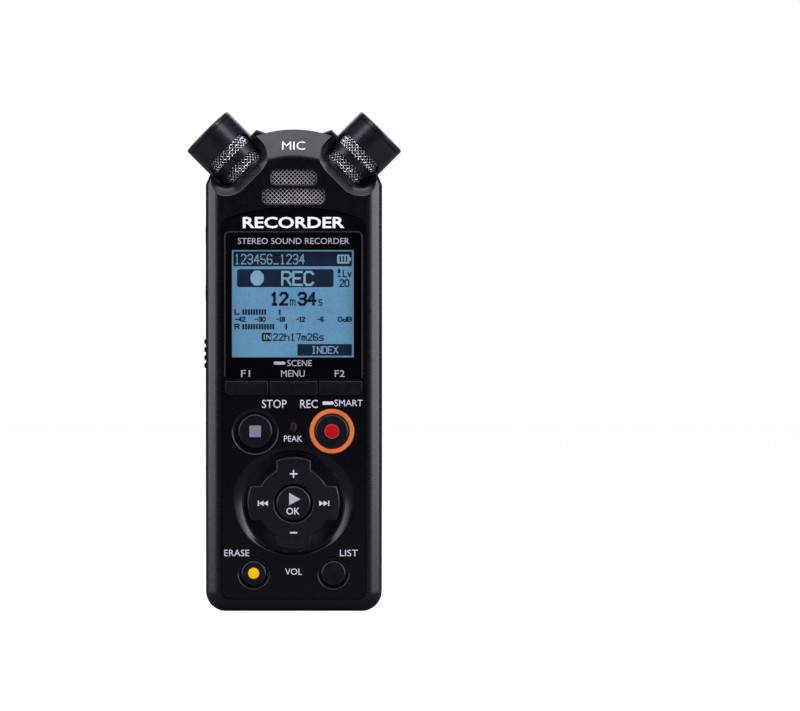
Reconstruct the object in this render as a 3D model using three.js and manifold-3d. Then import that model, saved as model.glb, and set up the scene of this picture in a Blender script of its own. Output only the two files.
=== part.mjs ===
// Portable field recorder: a pocket stereo recorder with two crossed microphone barrels on its head.
// Millimetres, +Z up. The recorder stands on its bottom end, its display faces -Y, and +X is on the
// right of somebody looking at the display. The origin is on the bottom, in the middle.
import * as THREE from "three";
import { mergeVertices } from "three/addons/utils/BufferGeometryUtils.js";
import Module from "manifold-3d";

const wasm = await Module();
wasm.setup();

// ---------------------------------------------------------------- driving dimensions

const WIDTH = 39.6;
const DEPTH = 17.6;
const HALF = WIDTH / 2;
const FRONT = -DEPTH / 2; // the flat front of the head
const BACK = DEPTH / 2; // the flat back
const WALL = 1.6;
const FRONT_WALL_BACK = FRONT + 2.2; // the inside of the front wall
const BACK_WALL_FRONT = BACK - WALL; // the inside of the back wall
const FIT = 0.1; // play between neighbouring pieces
const SLIVER = 0.3; // gap to a neighbour inside a turned group
const THROUGH = 40; // longer than anything that a cut goes through

const ARCH = { radius: 25.7, centreZ: 82.6 }; // the top of the head
const SHOULDER = { low: 95.9, x: 17.45 }; // where the sides lean in, and where they meet the arch
const BOTTOM_CORNER = 4.5;
const FRONT_RIM = { across: 3.6, deep: 3.4 };
const BACK_RIM = { across: 4.2, deep: 3.2 };
const BROW = { radius: 19.4, deep: 3.3 }; // the sloped band over the front microphone

const MIC = {
  crossing: 88.4, // height at which the two axes cross
  tilt: Math.PI / 4,
  radius: 6.4,
  bore: 5.65,
  foot: 13.6, // distances along the axis, from the crossing
  end: 27.9,
  caseCut: 20.24,
  lowWindow: 16.5,
  highWindow: 20.66,
  windowWidth: 2.4,
  sideWall: 1.8, // half the depth of the wall left between the front and the back windows
};

const PANEL = { half: 16.2, bottom: 2.8, corner: 1.8, shoulder: 87.4, top: 90.7, arc: 47 };
const PANEL_FRONT = FRONT + 0.2;
const PANEL_BACK = FRONT + 1.4;

const LENS = { half: 15.4, bottom: 52.1, top: 85.2, corner: 1.2 };
const SCREEN = { half: 13.66, bottom: 57.1, top: 81.1 };
const SOFT_KEYS = { bottom: 48.5, top: 51.75, outer: 15.45, split: 5.55, gap: 0.4 };
const PAIR_X = 8.6; // stop and record, left and right of the middle
const PAIR_Z = 40.45;
const LOW_PAIR_X = 8.95; // erase and list
const LOW_PAIR_Z = 8.6;
const PAD = { z: 24.3, disc: 8.3, arm: 10.4, armHalf: 3.9, hole: 4.3, well: 11.1, bowl: 14.1 };
const TRAVEL = 0.4; // of every push button

const BOARD_FRONT = -4.6;
const BOARD_BACK = -3.6;
const BATTERY = { y: 1.85, radius: 5.15, bottom: 7.0, length: 44.5 };
const COVER = { half: 13, hingeZ: 6.7, hingeY: BACK - 0.85, knuckle: 0.85, top: 54.4 };
const DOOR = { bottom: 60, top: 88, front: -5.0, hingeX: 19.05, hingeY: 0.6, knuckle: 0.75 };
const TRIPOD = { z: 60.5, radius: 4.7, flange: 5.4, bore: 3.175, length: 7 };
const SPEAKER = { z: 78, radius: 7.5 };
const SLIDER = { z: 57.9, half: 3.25, travel: 1.8, ridges: 4, pitch: 1.8, proud: 0.5 };
const JACKS = { headphone_jack: 84.7, microphone_jack: 71.5 };
const SCREWS = [
  [-15.4, 6.2],
  [15.4, 6.2],
  [-11.6, 90.2],
  [11.6, 90.2],
];
const CENTRE_MIC_Z = 95.3;

// ---------------------------------------------------------------- materials

const finish = (color, roughness, metalness = 0) =>
  new THREE.MeshStandardMaterial({ color, roughness, metalness });
const SATIN = finish(0x2b2b30, 0.45, 0.1);
const PANEL_BLACK = finish(0x121318, 0.5);
const GLOSS = finish(0x050507, 0.08);
const KEY = finish(0x15161b, 0.5);
const SCREEN_BLUE = finish(0x6599bd, 0.3);
const BOARD_GREEN = finish(0x1d5a36, 0.6);
const RUBBER = finish(0x333338, 0.9);
const STEEL = finish(0xb8bac0, 0.3, 1);
const BRASS = finish(0xb08d45, 0.35, 1);
const ORANGE = finish(0xe0783c, 0.35);
const CELL = finish(0x3c6e8f, 0.4, 0.3);
const COPPER = finish(0x7c4a30, 0.5, 0.5);

// ---------------------------------------------------------------- shape helpers

// A closed three.js geometry as a solid that can be cut and joined.
function solid(geometry) {
  const loose = geometry.index ? geometry.toNonIndexed() : geometry;
  const bare = new THREE.BufferGeometry();
  bare.setAttribute("position", loose.getAttribute("position"));
  const merged = mergeVertices(bare, 1e-4);
  const vertProperties = new Float32Array(merged.attributes.position.array);
  const triVerts = new Uint32Array(merged.index.array);
  const made = new wasm.Manifold(new wasm.Mesh({ numProp: 3, vertProperties, triVerts }));
  if (made.volume() > 0) return made;
  triVerts.reverse();
  return new wasm.Manifold(new wasm.Mesh({ numProp: 3, vertProperties, triVerts }));
}

const join = (...parts) => parts.reduce((a, b) => a.add(b));
const cut = (body, ...tools) => tools.reduce((a, b) => a.subtract(b), body);
const mirrored = (body) => body.mirror([1, 0, 0]);
const bothSides = (body) => join(body, mirrored(body));

// The rectangle from the low corner to the high corner, given as three ranges.
function block([x0, x1], [y0, y1], [z0, z1]) {
  const box = new THREE.BoxGeometry(x1 - x0, y1 - y0, z1 - z0);
  return solid(box.translate((x0 + x1) / 2, (y0 + y1) / 2, (z0 + z1) / 2));
}

// A front-view shape (x across, y up) as a plate between two depths.
function plate(shape, yFront, yBack, curveSegments = 4) {
  const depth = yBack - yFront;
  const geometry = new THREE.ExtrudeGeometry(shape, { depth, bevelEnabled: false, curveSegments });
  return solid(geometry.rotateX(Math.PI / 2).translate(0, yBack, 0));
}

// A profile of [radius, distance] turned about the named axis through a point.
function turned(profile, axis = "y", [x, y, z] = [0, 0, 0], segments = 28) {
  const points = profile.map(([r, d]) => new THREE.Vector2(r, d));
  const geometry = new THREE.LatheGeometry(points, segments, Math.PI / segments);
  if (axis === "z") geometry.rotateX(Math.PI / 2);
  if (axis === "x") geometry.rotateZ(-Math.PI / 2);
  return solid(geometry.translate(x, y, z));
}

const rod = (radius, from, to, axis, at, segments = 24) =>
  turned([[0, from], [radius, from], [radius, to], [0, to]], axis, at, segments);

function roundedRect(x0, x1, z0, z1, radii) {
  const [lowLeft, lowRight, highRight, highLeft] = Array.isArray(radii) ? radii : Array(4).fill(radii);
  const shape = new THREE.Shape();
  shape.moveTo(x0 + lowLeft, z0);
  shape.absarc(x1 - lowRight, z0 + lowRight, lowRight, -Math.PI / 2, 0);
  shape.absarc(x1 - highRight, z1 - highRight, highRight, 0, Math.PI / 2);
  shape.absarc(x0 + highLeft, z1 - highLeft, highLeft, Math.PI / 2, Math.PI);
  shape.absarc(x0 + lowLeft, z0 + lowLeft, lowLeft, Math.PI, 1.5 * Math.PI);
  return shape;
}

// The points of a shape's outline, counter-clockwise, with doubled points dropped.
function loopOf(shape, curveSegments = 3) {
  const points = shape.getPoints(curveSegments);
  const loop = points.filter((p, i) => p.distanceTo(points[(i + 1) % points.length]) > 1e-6);
  return THREE.ShapeUtils.isClockWise(loop) ? loop.reverse() : loop;
}

// A loop moved inwards by a distance, each corner along its own bisector.
function inset(loop, distance) {
  return loop.map((point, i) => {
    const before = point.clone().sub(loop.at(i - 1)).normalize();
    const after = loop[(i + 1) % loop.length].clone().sub(point).normalize();
    const inward = new THREE.Vector2(-(before.y + after.y), before.x + after.x).normalize();
    const sine = before.x * inward.y - before.y * inward.x;
    return point.clone().addScaledVector(inward, distance / sine);
  });
}

// A closed body through front-view loops of equal length, each at its own depth, from front to back.
function stack(rings) {
  const count = rings[0].loop.length;
  const positions = rings.flatMap(
    ({ loop, y, sink }) => loop.flatMap((p, i) => [p.x, y + (sink ? sink[i] : 0), p.y]),
  );
  const faces = [];
  for (let ring = 0; ring + 1 < rings.length; ring++) {
    for (let i = 0; i < count; i++) {
      const [a, b] = [ring * count + i, ring * count + ((i + 1) % count)];
      faces.push(a, a + count, b + count, a, b + count, b);
    }
  }
  const last = (rings.length - 1) * count;
  for (const [a, b, c] of THREE.ShapeUtils.triangulateShape(rings[0].loop, [])) faces.push(a, b, c);
  for (const [a, b, c] of THREE.ShapeUtils.triangulateShape(rings.at(-1).loop, []))
    faces.push(last + a, last + c, last + b);
  const geometry = new THREE.BufferGeometry();
  geometry.setAttribute("position", new THREE.Float32BufferAttribute(positions, 3));
  geometry.setIndex(faces);
  return solid(geometry);
}

// A plate with a softened front edge, such as a key top.
function softPlate(shape, yFront, yBack, edge, curveSegments = 3) {
  const loop = loopOf(shape, curveSegments);
  return stack([
    { loop: inset(loop, edge), y: yFront },
    { loop: inset(loop, edge * 0.3), y: yFront + edge * 0.3 },
    { loop, y: yFront + edge },
    { loop, y: yBack },
  ]);
}

// Everything further along the left microphone's axis than a distance from the crossing.
function beyondOnLeft(distance) {
  const slab = new THREE.BoxGeometry(THROUGH * 2, THROUGH, THROUGH);
  slab.translate(0, 0, THROUGH / 2 + distance);
  return solid(slab.rotateY(-MIC.tilt).translate(0, 0, MIC.crossing));
}

// A round profile along the left microphone's axis, as [radius, distance from the crossing].
const onLeftAxis = (profile, segments = 32) => {
  const points = profile.map(([r, d]) => new THREE.Vector2(r, d));
  const geometry = new THREE.LatheGeometry(points, segments, Math.PI / segments).rotateX(Math.PI / 2);
  return solid(geometry.rotateY(-MIC.tilt).translate(0, 0, MIC.crossing));
};

const recorder = new THREE.Group();

function add(name, body, material, parent = recorder) {
  const { vertProperties, triVerts } = body.simplify(0.004).getMesh(); // drops slivers left by cuts
  const geometry = new THREE.BufferGeometry();
  geometry.setAttribute("position", new THREE.BufferAttribute(vertProperties, 3));
  geometry.setIndex(new THREE.BufferAttribute(triVerts, 1));
  geometry.computeVertexNormals();
  const mesh = new THREE.Mesh(geometry, material);
  mesh.name = name;
  parent.add(mesh);
  return mesh;
}

// ---------------------------------------------------------------- outlines

// The front view of the body: round bottom corners, leaning shoulders and an arched top.
function bodyLoop() {
  const shape = new THREE.Shape();
  const start = Math.acos(SHOULDER.x / ARCH.radius);
  shape.moveTo(-HALF + BOTTOM_CORNER, 0);
  shape.absarc(HALF - BOTTOM_CORNER, BOTTOM_CORNER, BOTTOM_CORNER, -Math.PI / 2, 0);
  shape.lineTo(HALF, SHOULDER.low);
  shape.absarc(0, ARCH.centreZ, ARCH.radius, start, Math.PI - start);
  shape.lineTo(-HALF, SHOULDER.low);
  shape.absarc(-HALF + BOTTOM_CORNER, BOTTOM_CORNER, BOTTOM_CORNER, Math.PI, 1.5 * Math.PI);
  return loopOf(shape, 5);
}

function panelShape(play = 0) {
  const { half, bottom, corner, shoulder, top, arc } = PANEL;
  const shape = new THREE.Shape();
  const x = half + play;
  const lean = Math.asin((half - corner) / arc);
  shape.moveTo(-x + corner, bottom - play);
  shape.absarc(x - corner, bottom - play + corner, corner, -Math.PI / 2, 0);
  shape.lineTo(x, shoulder + play - corner);
  shape.quadraticCurveTo(x, shoulder + play, x - corner, top + play - arc * (1 - Math.cos(lean)));
  shape.absarc(0, top + play - arc, arc, Math.PI / 2 - lean, Math.PI / 2 + lean);
  shape.quadraticCurveTo(-x, shoulder + play, -x, shoulder + play - corner);
  shape.absarc(-x + corner, bottom - play + corner, corner, Math.PI, 1.5 * Math.PI);
  return shape;
}

// The four-way pad: a disc with four arms.
function padShape(play = 0) {
  const { disc, arm, armHalf } = PAD;
  const shape = new THREE.Shape();
  const tip = Math.asin((armHalf + play) / (arm + play));
  const root = Math.asin((armHalf + play) / (disc + play));
  for (let quarter = 0; quarter < 4; quarter++) {
    const facing = (quarter * Math.PI) / 2;
    shape.absarc(0, 0, arm + play, facing - tip, facing + tip);
    shape.absarc(0, 0, disc + play, facing + root, facing + Math.PI / 2 - root);
  }
  return shape;
}

// The hollow round the foot of the left microphone, on the front or the back of the head: a crisp rim,
// then a wall that steepens inwards and runs down to the middle of the body, where the barrel fills it.
// On the front, its upper rim follows the brow down.
function leftScoop(followsBrow) {
  const outline = loopOf(roundedRect(-8.8, 6.95, 12.65, 34, 4), 3);
  const slope = (ARCH.radius - BROW.radius) / BROW.deep;
  const sink = outline.map(({ x, y: z }) => {
    const radius = Math.hypot((x - z) / Math.SQRT2, MIC.crossing + (x + z) / Math.SQRT2 - ARCH.centreZ);
    return x > 0 && followsBrow ? THREE.MathUtils.clamp((radius - BROW.radius) / slope, 0, 3) : 0;
  });
  const depths = [
    [-6, -0.3],
    [0, 0],
    [0.35, 0.5],
    [1.2, 1.4],
    [2.1, 1.95],
    [3.4, 2.3],
    [5, 2.45],
  ];
  const rings = depths.map(
    ([depth, distance]) => ({ loop: inset(outline, distance), y: FRONT + depth, sink }),
  );
  rings.push({ loop: inset(outline, 2.46), y: 0.2 });
  return stack(rings).rotate([0, -45, 0]).translate([0, 0, MIC.crossing]);
}

// ---------------------------------------------------------------- casing

const outline = bodyLoop();

// A quarter of an ellipse from the side of the body round to its front or back.
function rimRings({ across, deep }, face, inwards, steps = 6) {
  return Array.from({ length: steps + 1 }, (_, i) => {
    const angle = (i / steps) * (Math.PI / 2);
    const distance = across * (1 - Math.sin(angle));
    return { loop: inset(outline, distance), y: face + inwards * deep * (1 - Math.cos(angle)) };
  });
}

function bodyForm() {
  const front = rimRings(FRONT_RIM, FRONT, 1);
  const back = rimRings(BACK_RIM, BACK, -1).reverse();
  return stack([...front, ...back]);
}

// What the brow keeps of the body: all but the front of the head, where a cone opens towards the back.
function browKeep() {
  const slope = (ARCH.radius - BROW.radius) / BROW.deep;
  const lead = 2;
  const wide = BROW.radius + slope * (DEPTH + lead);
  const profile = [
    [0, FRONT - lead],
    [BROW.radius - slope * lead, FRONT - lead],
    [wide, BACK + lead],
    [0, BACK + lead],
  ];
  const cone = turned(profile, "y", [0, 0, ARCH.centreZ], 60);
  const below = block([-THROUGH, THROUGH], [-THROUGH, THROUGH], [-1, 96]);
  const beside = bothSides(block([9.3, THROUGH], [-THROUGH, THROUGH], [90, 120]));
  return join(cone, below, beside);
}

// The lip that stands up beside the left microphone at the top of the head.
function leftEar() {
  const shape = new THREE.Shape();
  shape.moveTo(-8.45, 108.35);
  shape.lineTo(-12, 104.8);
  shape.lineTo(-8, 102.5);
  shape.lineTo(-5.9, 107.45);
  return plate(shape, -4, 4);
}

// The room for the left microphone: a close seat at its foot and a wider well above.
function leftMicSeat() {
  return onLeftAxis(
    [
      [0, 11],
      [0.9, 11],
      [0.9, MIC.foot - SLIVER],
      [MIC.radius + FIT, MIC.foot - SLIVER],
      [MIC.radius + FIT, 15.2],
      [MIC.radius + 0.45, 15.3],
      [MIC.radius + 0.45, THROUGH],
      [0, THROUGH],
    ],
    32,
  );
}

// The hollow inside one half of the casing, as an inset of the body's outline.
function cavity(yOpen, yDeep, deepInset) {
  const slope = Math.sign(yDeep - yOpen) * 1.6;
  const rings = [
    { loop: inset(outline, WALL), y: yOpen },
    { loop: inset(outline, WALL), y: yDeep - slope },
    { loop: inset(outline, deepInset), y: yDeep },
  ];
  const hollow = stack(yOpen < yDeep ? rings : rings.reverse());
  return cut(hollow, bothSides(beyondOnLeft(11.8)));
}

// The openings in the sides, shared by both halves of the casing.
function sideOpenings() {
  const jacks = Object.values(JACKS).map((z) => rod(2.65, -HALF - 1, -HALF + 2.4, "x", [0, 0, z]));
  const window = SLIDER.half + SLIDER.travel + 0.15;
  const slider = block([-HALF - 1, -17], [-1.6, 1.6], [SLIDER.z - window, SLIDER.z + window]);
  const door = block([18.25, HALF + 1], [DOOR.front - FIT, 1.45], [DOOR.bottom - FIT, DOOR.top + FIT]);
  const usb = block([16, HALF], [-3.55, 0.05], [61.3, 70.7]);
  const card = block([16, HALF], [-3.5, -2.0], [74, 85.6]);
  const pin = rod(0.45, DOOR.bottom - 1, DOOR.top + 1, "z", [DOOR.hingeX, DOOR.hingeY, 0], 16);
  return [...jacks, slider, door, usb, card, pin];
}

const headCuts = [
  bothSides(beyondOnLeft(MIC.caseCut)),
  bothSides(leftMicSeat()),
  bothSides(leftScoop(true)),
  bothSides(leftScoop(false).mirror([0, 1, 0])),
];
const form = cut(
  join(bodyForm().intersect(browKeep()), bothSides(leftEar())),
  ...headCuts,
);
const sideBlock = block([16.8, 18.4], [-3.55, 2.2], [59, 89]);

function keyOpenings() {
  const wide = (radius, x, z) => rod(radius, FRONT - 1, 0, "y", [x, 0, z], 28);
  return [
    wide(4.2, -PAIR_X, PAIR_Z),
    wide(5.2, PAIR_X, PAIR_Z),
    wide(3.2, -LOW_PAIR_X, LOW_PAIR_Z),
    wide(3.2, LOW_PAIR_X, LOW_PAIR_Z),
    wide(PAD.well, 0, PAD.z),
    plate(roundedRect(-0.75, 0.75, 40.0, 42.6, 0.7), FRONT - 1, 0),
  ];
}

function softKeySpans() {
  const { outer, split, gap } = SOFT_KEYS;
  return {
    f1_button: [-outer, -split - gap / 2],
    menu_button: [-split + gap / 2, split - gap / 2],
    f2_button: [split + gap / 2, outer],
  };
}

function frontCase() {
  const half = form.intersect(block([-THROUGH, THROUGH], [FRONT - 1, 0], [-1, 120]));
  const hollow = cavity(0.5, FRONT_WALL_BACK, 3.6);
  const bosses = SCREWS.map(([x, z]) => rod(2, FRONT_WALL_BACK - 0.5, -FIT, "y", [x, 0, z], 16));
  const pilots = SCREWS.map(([x, z]) => rod(0.9, FRONT_WALL_BACK + 0.5, 1, "y", [x, 0, z], 10));
  const stems = Object.values(softKeySpans()).map(([x0, x1]) =>
    block([x0 + 0.5, x1 - 0.5], [FRONT, 0], [SOFT_KEYS.bottom + 0.3, SOFT_KEYS.top - 0.3]),
  );
  const screen = block(
    [-SCREEN.half - 0.4, SCREEN.half + 0.4],
    [FRONT, 0],
    [SCREEN.bottom - 0.4, SCREEN.top + 0.4],
  );
  const grilleRoom = plate(roundedRect(-7.8, 7.8, 90.9, 99.8, 1.5), FRONT + 0.6, 0);
  const slots = micSlots().map((shape) => plate(shape, FRONT - 1, FRONT + 1));
  const shell = cut(half, hollow.subtract(join(...bosses)).subtract(sideBlock));
  const pocket = plate(panelShape(0.08), FRONT - 1, PANEL_BACK);
  return cut(
    shell, pocket, screen, grilleRoom, ...slots, ...stems, ...pilots, ...keyOpenings(),
    ...sideOpenings(),
  );
}

// The two slots of the front microphone.
function micSlots() {
  return [
    roundedRect(-5.1, 5.1, 95.75, 99.25, [1.0, 1.0, 1.3, 1.3]),
    roundedRect(-6.95, 6.95, 91.45, 95.0, [1.2, 1.2, 0.9, 0.9]),
  ];
}

function rearCase() {
  const half = form.intersect(block([-THROUGH, THROUGH], [0, BACK + 1], [-1, 120]));
  const bay = { half: 5.6, wall: 1.2, bottom: 4.9, top: 53.0 };
  const bayWalls = block(
    [-bay.half - bay.wall, bay.half + bay.wall],
    [0, BACK_WALL_FRONT + 0.5],
    [bay.bottom - bay.wall, bay.top + bay.wall],
  );
  const bayRoom = block([-bay.half, bay.half], [-1, BACK_WALL_FRONT + 0.5], [bay.bottom, bay.top]);
  const bayMouth = block([-bay.half, bay.half], [BACK_WALL_FRONT, BACK], [7.8, bay.top]);
  const bosses = SCREWS.map(([x, z]) => rod(2.2, FIT, BACK, "y", [x, 0, z], 16));
  const screwHoles = SCREWS.map(([x, z]) =>
    turned(
      [[0, -1], [1, -1], [1, BACK - 1.2], [1.85, BACK - 1.2], [1.85, BACK + 1], [0, BACK + 1]],
      "y",
      [x, 0, z],
      14,
    ),
  );
  const tripodBoss = rod(6.3, 1.6, BACK, "y", [0, 0, TRIPOD.z]);
  const tripodHole = join(
    rod(TRIPOD.radius + FIT, 0, BACK + 1, "y", [0, 0, TRIPOD.z]),
    rod(TRIPOD.flange + FIT, BACK - 0.9, BACK + 1, "y", [0, 0, TRIPOD.z]),
  );
  const speakerSlots = [-3, -1.5, 0, 1.5, 3].map((dz) => {
    const length = 5.4 - Math.abs(dz) * 0.5;
    return plate(
      roundedRect(-length, length, SPEAKER.z + dz - 0.4, SPEAKER.z + dz + 0.4, 0.39),
      6,
      BACK + 1,
      2,
    );
  });
  const coverPocket = block(
    [-COVER.half - FIT, COVER.half + FIT],
    [BACK - 1.35, BACK + 1],
    [COVER.hingeZ, COVER.top + FIT],
  );
  const hingeRoom = join(
    rod(COVER.knuckle + FIT, -COVER.half - FIT, COVER.half + FIT, "x", [0, COVER.hingeY, COVER.hingeZ]),
    block(
      [-COVER.half - FIT, COVER.half + FIT],
      [COVER.hingeY, BACK + 1],
      [COVER.hingeZ - COVER.knuckle - FIT, COVER.hingeZ + 0.1],
    ),
  );
  const pinHole = rod(0.5, -COVER.half - 0.9, COVER.half + 0.9, "x", [0, COVER.hingeY, COVER.hingeZ], 16);
  const fingerNotch = rod(3.2, BACK - 0.9, BACK + 1, "y", [0, 0, COVER.top + 0.6]);
  const strapBlock = block([-18.4, -15.2], [1.8, 7.4], [10, 19]);
  const strapNotch = block([-HALF - 1, -16.6], [2.8, 6.4], [11.2, 17.8]);
  const strapPinHole = rod(0.7, 10.4, 18.6, "z", [-18.6, 4.6, 0], 16);
  const hollow = cut(
    cavity(-0.5, BACK_WALL_FRONT, 3.4),
    bayWalls,
    tripodBoss,
    sideBlock,
    strapBlock,
    ...bosses,
  );
  const hinge = [coverPocket, hingeRoom, pinHole, fingerNotch];
  const strap = [strapNotch, strapPinHole];
  return cut(
    half, hollow, bayRoom, bayMouth, ...screwHoles, tripodHole, ...speakerSlots, ...hinge, ...strap,
    ...sideOpenings(),
  );
}

add("front_case", frontCase(), SATIN);
add("rear_case", rearCase(), SATIN);

// ---------------------------------------------------------------- front panel, lens and display

// A shallow dish round a button: its rim radius and its floor radius and depth.
const dish = (rim, floor, depth, x, z) =>
  turned(
    [
      [0, PANEL_FRONT - 1], [rim, PANEL_FRONT - 1], [rim, PANEL_FRONT], [floor, PANEL_FRONT + depth],
      [0, PANEL_FRONT + depth],
    ],
    "y",
    [x, 0, z],
    28,
  );

function controlPanel() {
  const hole = (radius, x, z) => rod(radius, FRONT - 1, 0, "y", [x, 0, z], 28);
  const opening = roundedRect(
    -15.6,
    15.6,
    SOFT_KEYS.bottom - 0.15,
    LENS.top + FIT,
    [1.3, 1.3, LENS.corner, LENS.corner],
  );
  return cut(
    plate(panelShape(), PANEL_FRONT, PANEL_BACK),
    plate(opening, FRONT - 1, 0),
    plate(roundedRect(-0.7, 0.7, 40.05, 42.55, 0.65), FRONT - 1, 0),
    dish(5.36, 4.6, 0.35, -PAIR_X, PAIR_Z),
    hole(4.05, -PAIR_X, PAIR_Z),
    hole(5.15, PAIR_X, PAIR_Z),
    dish(PAD.bowl, 12.1, 0.9, 0, PAD.z),
    hole(PAD.well + 0.4, 0, PAD.z),
    dish(3.75, 3.3, 0.3, -LOW_PAIR_X, LOW_PAIR_Z),
    dish(3.75, 3.3, 0.3, LOW_PAIR_X, LOW_PAIR_Z),
    hole(3.0, -LOW_PAIR_X, LOW_PAIR_Z),
    hole(3.0, LOW_PAIR_X, LOW_PAIR_Z),
  );
}

add("control_panel", controlPanel(), PANEL_BLACK);
add(
  "display_lens",
  softPlate(
    roundedRect(-LENS.half, LENS.half, LENS.bottom, LENS.top, [0.4, 0.4, LENS.corner, LENS.corner]),
    PANEL_FRONT - 0.05,
    PANEL_BACK - 0.05,
    0.15,
  ),
  GLOSS,
);
add(
  "lcd_module",
  block([-15.8, 15.8], [FRONT_WALL_BACK + 0.05, BOARD_FRONT - 0.05], [54.3, 84.4]),
  SCREEN_BLUE,
);

// ---------------------------------------------------------------- buttons

const KEY_STEM_END = -5.65; // leaves the travel, and a little more, above the rubber keypad

function softKey(name, [x0, x1]) {
  const { bottom, top } = SOFT_KEYS;
  const corners = [name === "f1_button" ? 1.1 : 0.3, name === "f2_button" ? 1.1 : 0.3, 0.3, 0.3];
  const cap = softPlate(
    roundedRect(x0, x1, bottom, top, corners),
    PANEL_FRONT - 0.25,
    PANEL_BACK - TRAVEL - 0.1,
    0.2,
  );
  const stem = block(
    [x0 + 0.8, x1 - 0.8],
    [PANEL_BACK - TRAVEL - 0.2, KEY_STEM_END],
    [bottom + 0.5, top - 0.5],
  );
  add(name, join(cap, stem), KEY);
}

// A round push button, drawn about its own centre and put in place by its mesh.
function roundKey(name, radius, x, z, proud, material = KEY) {
  const top = PANEL_FRONT - proud;
  const profile = [
    [0, top],
    [radius * 0.6, top + 0.05],
    [radius - 0.35, top + 0.16],
    [radius, top + 0.5],
    [radius, KEY_STEM_END],
    [0, KEY_STEM_END],
  ];
  add(name, turned(profile, "y", [0, 0, 0], 28), material).position.set(x, 0, z);
}

for (const [name, span] of Object.entries(softKeySpans())) softKey(name, span);
roundKey("stop_button", 3.88, -PAIR_X, PAIR_Z, 0.35);
roundKey("record_button", 3.8, PAIR_X, PAIR_Z, 0.35);
roundKey("erase_button", 2.84, -LOW_PAIR_X, LOW_PAIR_Z, 0.3);
roundKey("list_button", 2.84, LOW_PAIR_X, LOW_PAIR_Z, 0.3);
roundKey("ok_button", 3.9, 0, PAD.z, 0.45);

const ringProfile = [
  [3.93, PANEL_FRONT], [4.2, PANEL_FRONT - 0.2], [4.8, PANEL_FRONT - 0.2], [5.07, PANEL_FRONT],
  [5.07, -6.0], [3.93, -6.0], [3.93, PANEL_FRONT],
];
add("record_light_ring", turned(ringProfile, "y", [0, 0, 0], 28), ORANGE).position.set(PAIR_X, 0, PAIR_Z);
add("peak_light_pipe", plate(roundedRect(-0.6, 0.6, 40.15, 42.45, 0.58), PANEL_FRONT + 0.05, -5.4), SATIN);

// The four-way pad rocks on a rubber actuator, which has a hollow middle for the OK button.
const padBody = softPlate(padShape(), PANEL_FRONT - 0.2, PANEL_FRONT + 1.3, 0.3);
const padHole = rod(PAD.hole, -THROUGH, THROUGH, "y", [0, 0, 0], 28);
add("direction_pad", cut(padBody, padHole), KEY).position.z = PAD.z;
const actuatorProfile = [[4.6, -6.92], [7.2, -6.92], [7.2, -5.9], [4.6, -5.9], [4.6, -6.92]];
add("direction_pad_actuator", turned(actuatorProfile, "y", [0, 0, 0], 24), RUBBER).position.z = PAD.z;

// ---------------------------------------------------------------- boards and parts on them

function mainBoard() {
  const shape = new THREE.Shape();
  const [half, bottom, top, chamfer] = [16.6, 4.0, 91, 3.6];
  shape.moveTo(4.4 - half, bottom);
  shape.lineTo(half - 4.4, bottom);
  shape.lineTo(half, bottom + 4.4);
  shape.lineTo(half, top - chamfer);
  shape.lineTo(half - chamfer, top);
  shape.lineTo(chamfer - half, top);
  shape.lineTo(-half, top - chamfer);
  shape.lineTo(-half, bottom + 4.4);
  const bossHoles = SCREWS.map(([x, z]) => rod(2.25, -THROUGH, THROUGH, "y", [x, 0, z], 12));
  return cut(plate(shape, BOARD_FRONT, BOARD_BACK), ...bossHoles);
}

function keypadRubber() {
  const mat = plate(roundedRect(-14.8, 14.8, 4.6, 52.8, 1.5), BOARD_FRONT - 0.45, BOARD_FRONT);
  const dome = (x, z, radius = 1.4) => rod(radius, BOARD_FRONT - 0.6, BOARD_FRONT - 0.2, "y", [x, 0, z], 10);
  const keys = Object.values(softKeySpans()).map(([x0, x1]) => dome((x0 + x1) / 2, 50.1, 1.1));
  const arms = [0, 1, 2, 3].map(
    (i) => dome(6.5 * Math.cos((i * Math.PI) / 2), PAD.z + 6.5 * Math.sin((i * Math.PI) / 2), 1),
  );
  const round = [
    dome(-PAIR_X, PAIR_Z), dome(PAIR_X, PAIR_Z), dome(-LOW_PAIR_X, LOW_PAIR_Z),
    dome(LOW_PAIR_X, LOW_PAIR_Z), dome(0, PAD.z),
  ];
  const bossHoles = SCREWS.slice(0, 2).map(([x, z]) => rod(2.3, -THROUGH, THROUGH, "y", [x, 0, z], 12));
  return cut(join(mat, ...keys, ...arms, ...round), ...bossHoles);
}

add("main_board", mainBoard(), BOARD_GREEN);
add("keypad_rubber", keypadRubber(), RUBBER);
add("processor_shield", block([7.6, 16.2], [BOARD_BACK, BOARD_BACK + 1.8], [22, 46]), STEEL);
add(
  "slide_switch",
  block([-16.3, -13.4], [BOARD_BACK, BOARD_BACK + 2.2], [SLIDER.z - 3.3, SLIDER.z + 3.3]),
  STEEL,
);
add(
  "speaker",
  turned(
    [[0, 4.4], [5, 4.4], [5, 5.4], [SPEAKER.radius, 5.4], [SPEAKER.radius, 7.1], [0, 7.1]],
    "y",
    [0, 0, SPEAKER.z],
  ),
  STEEL,
);

function jack(name, z) {
  const body = block([-17.6, -6.8], [-2.9, 2.9], [z - 2.7, z + 2.7]);
  const collar = turned(
    [
      [0, -17.4], [2.5, -17.4], [2.5, -HALF + 0.05], [2.2, -HALF - 0.12], [1.85, -HALF - 0.18],
      [0, -HALF - 0.18],
    ],
    "x",
    [0, 0, z],
    24,
  );
  const bore = rod(1.8, -HALF - 1, -9, "x", [0, 0, z], 20);
  add(name, cut(join(body, collar), bore), SATIN);
}
for (const [name, z] of Object.entries(JACKS)) jack(name, z);

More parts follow.
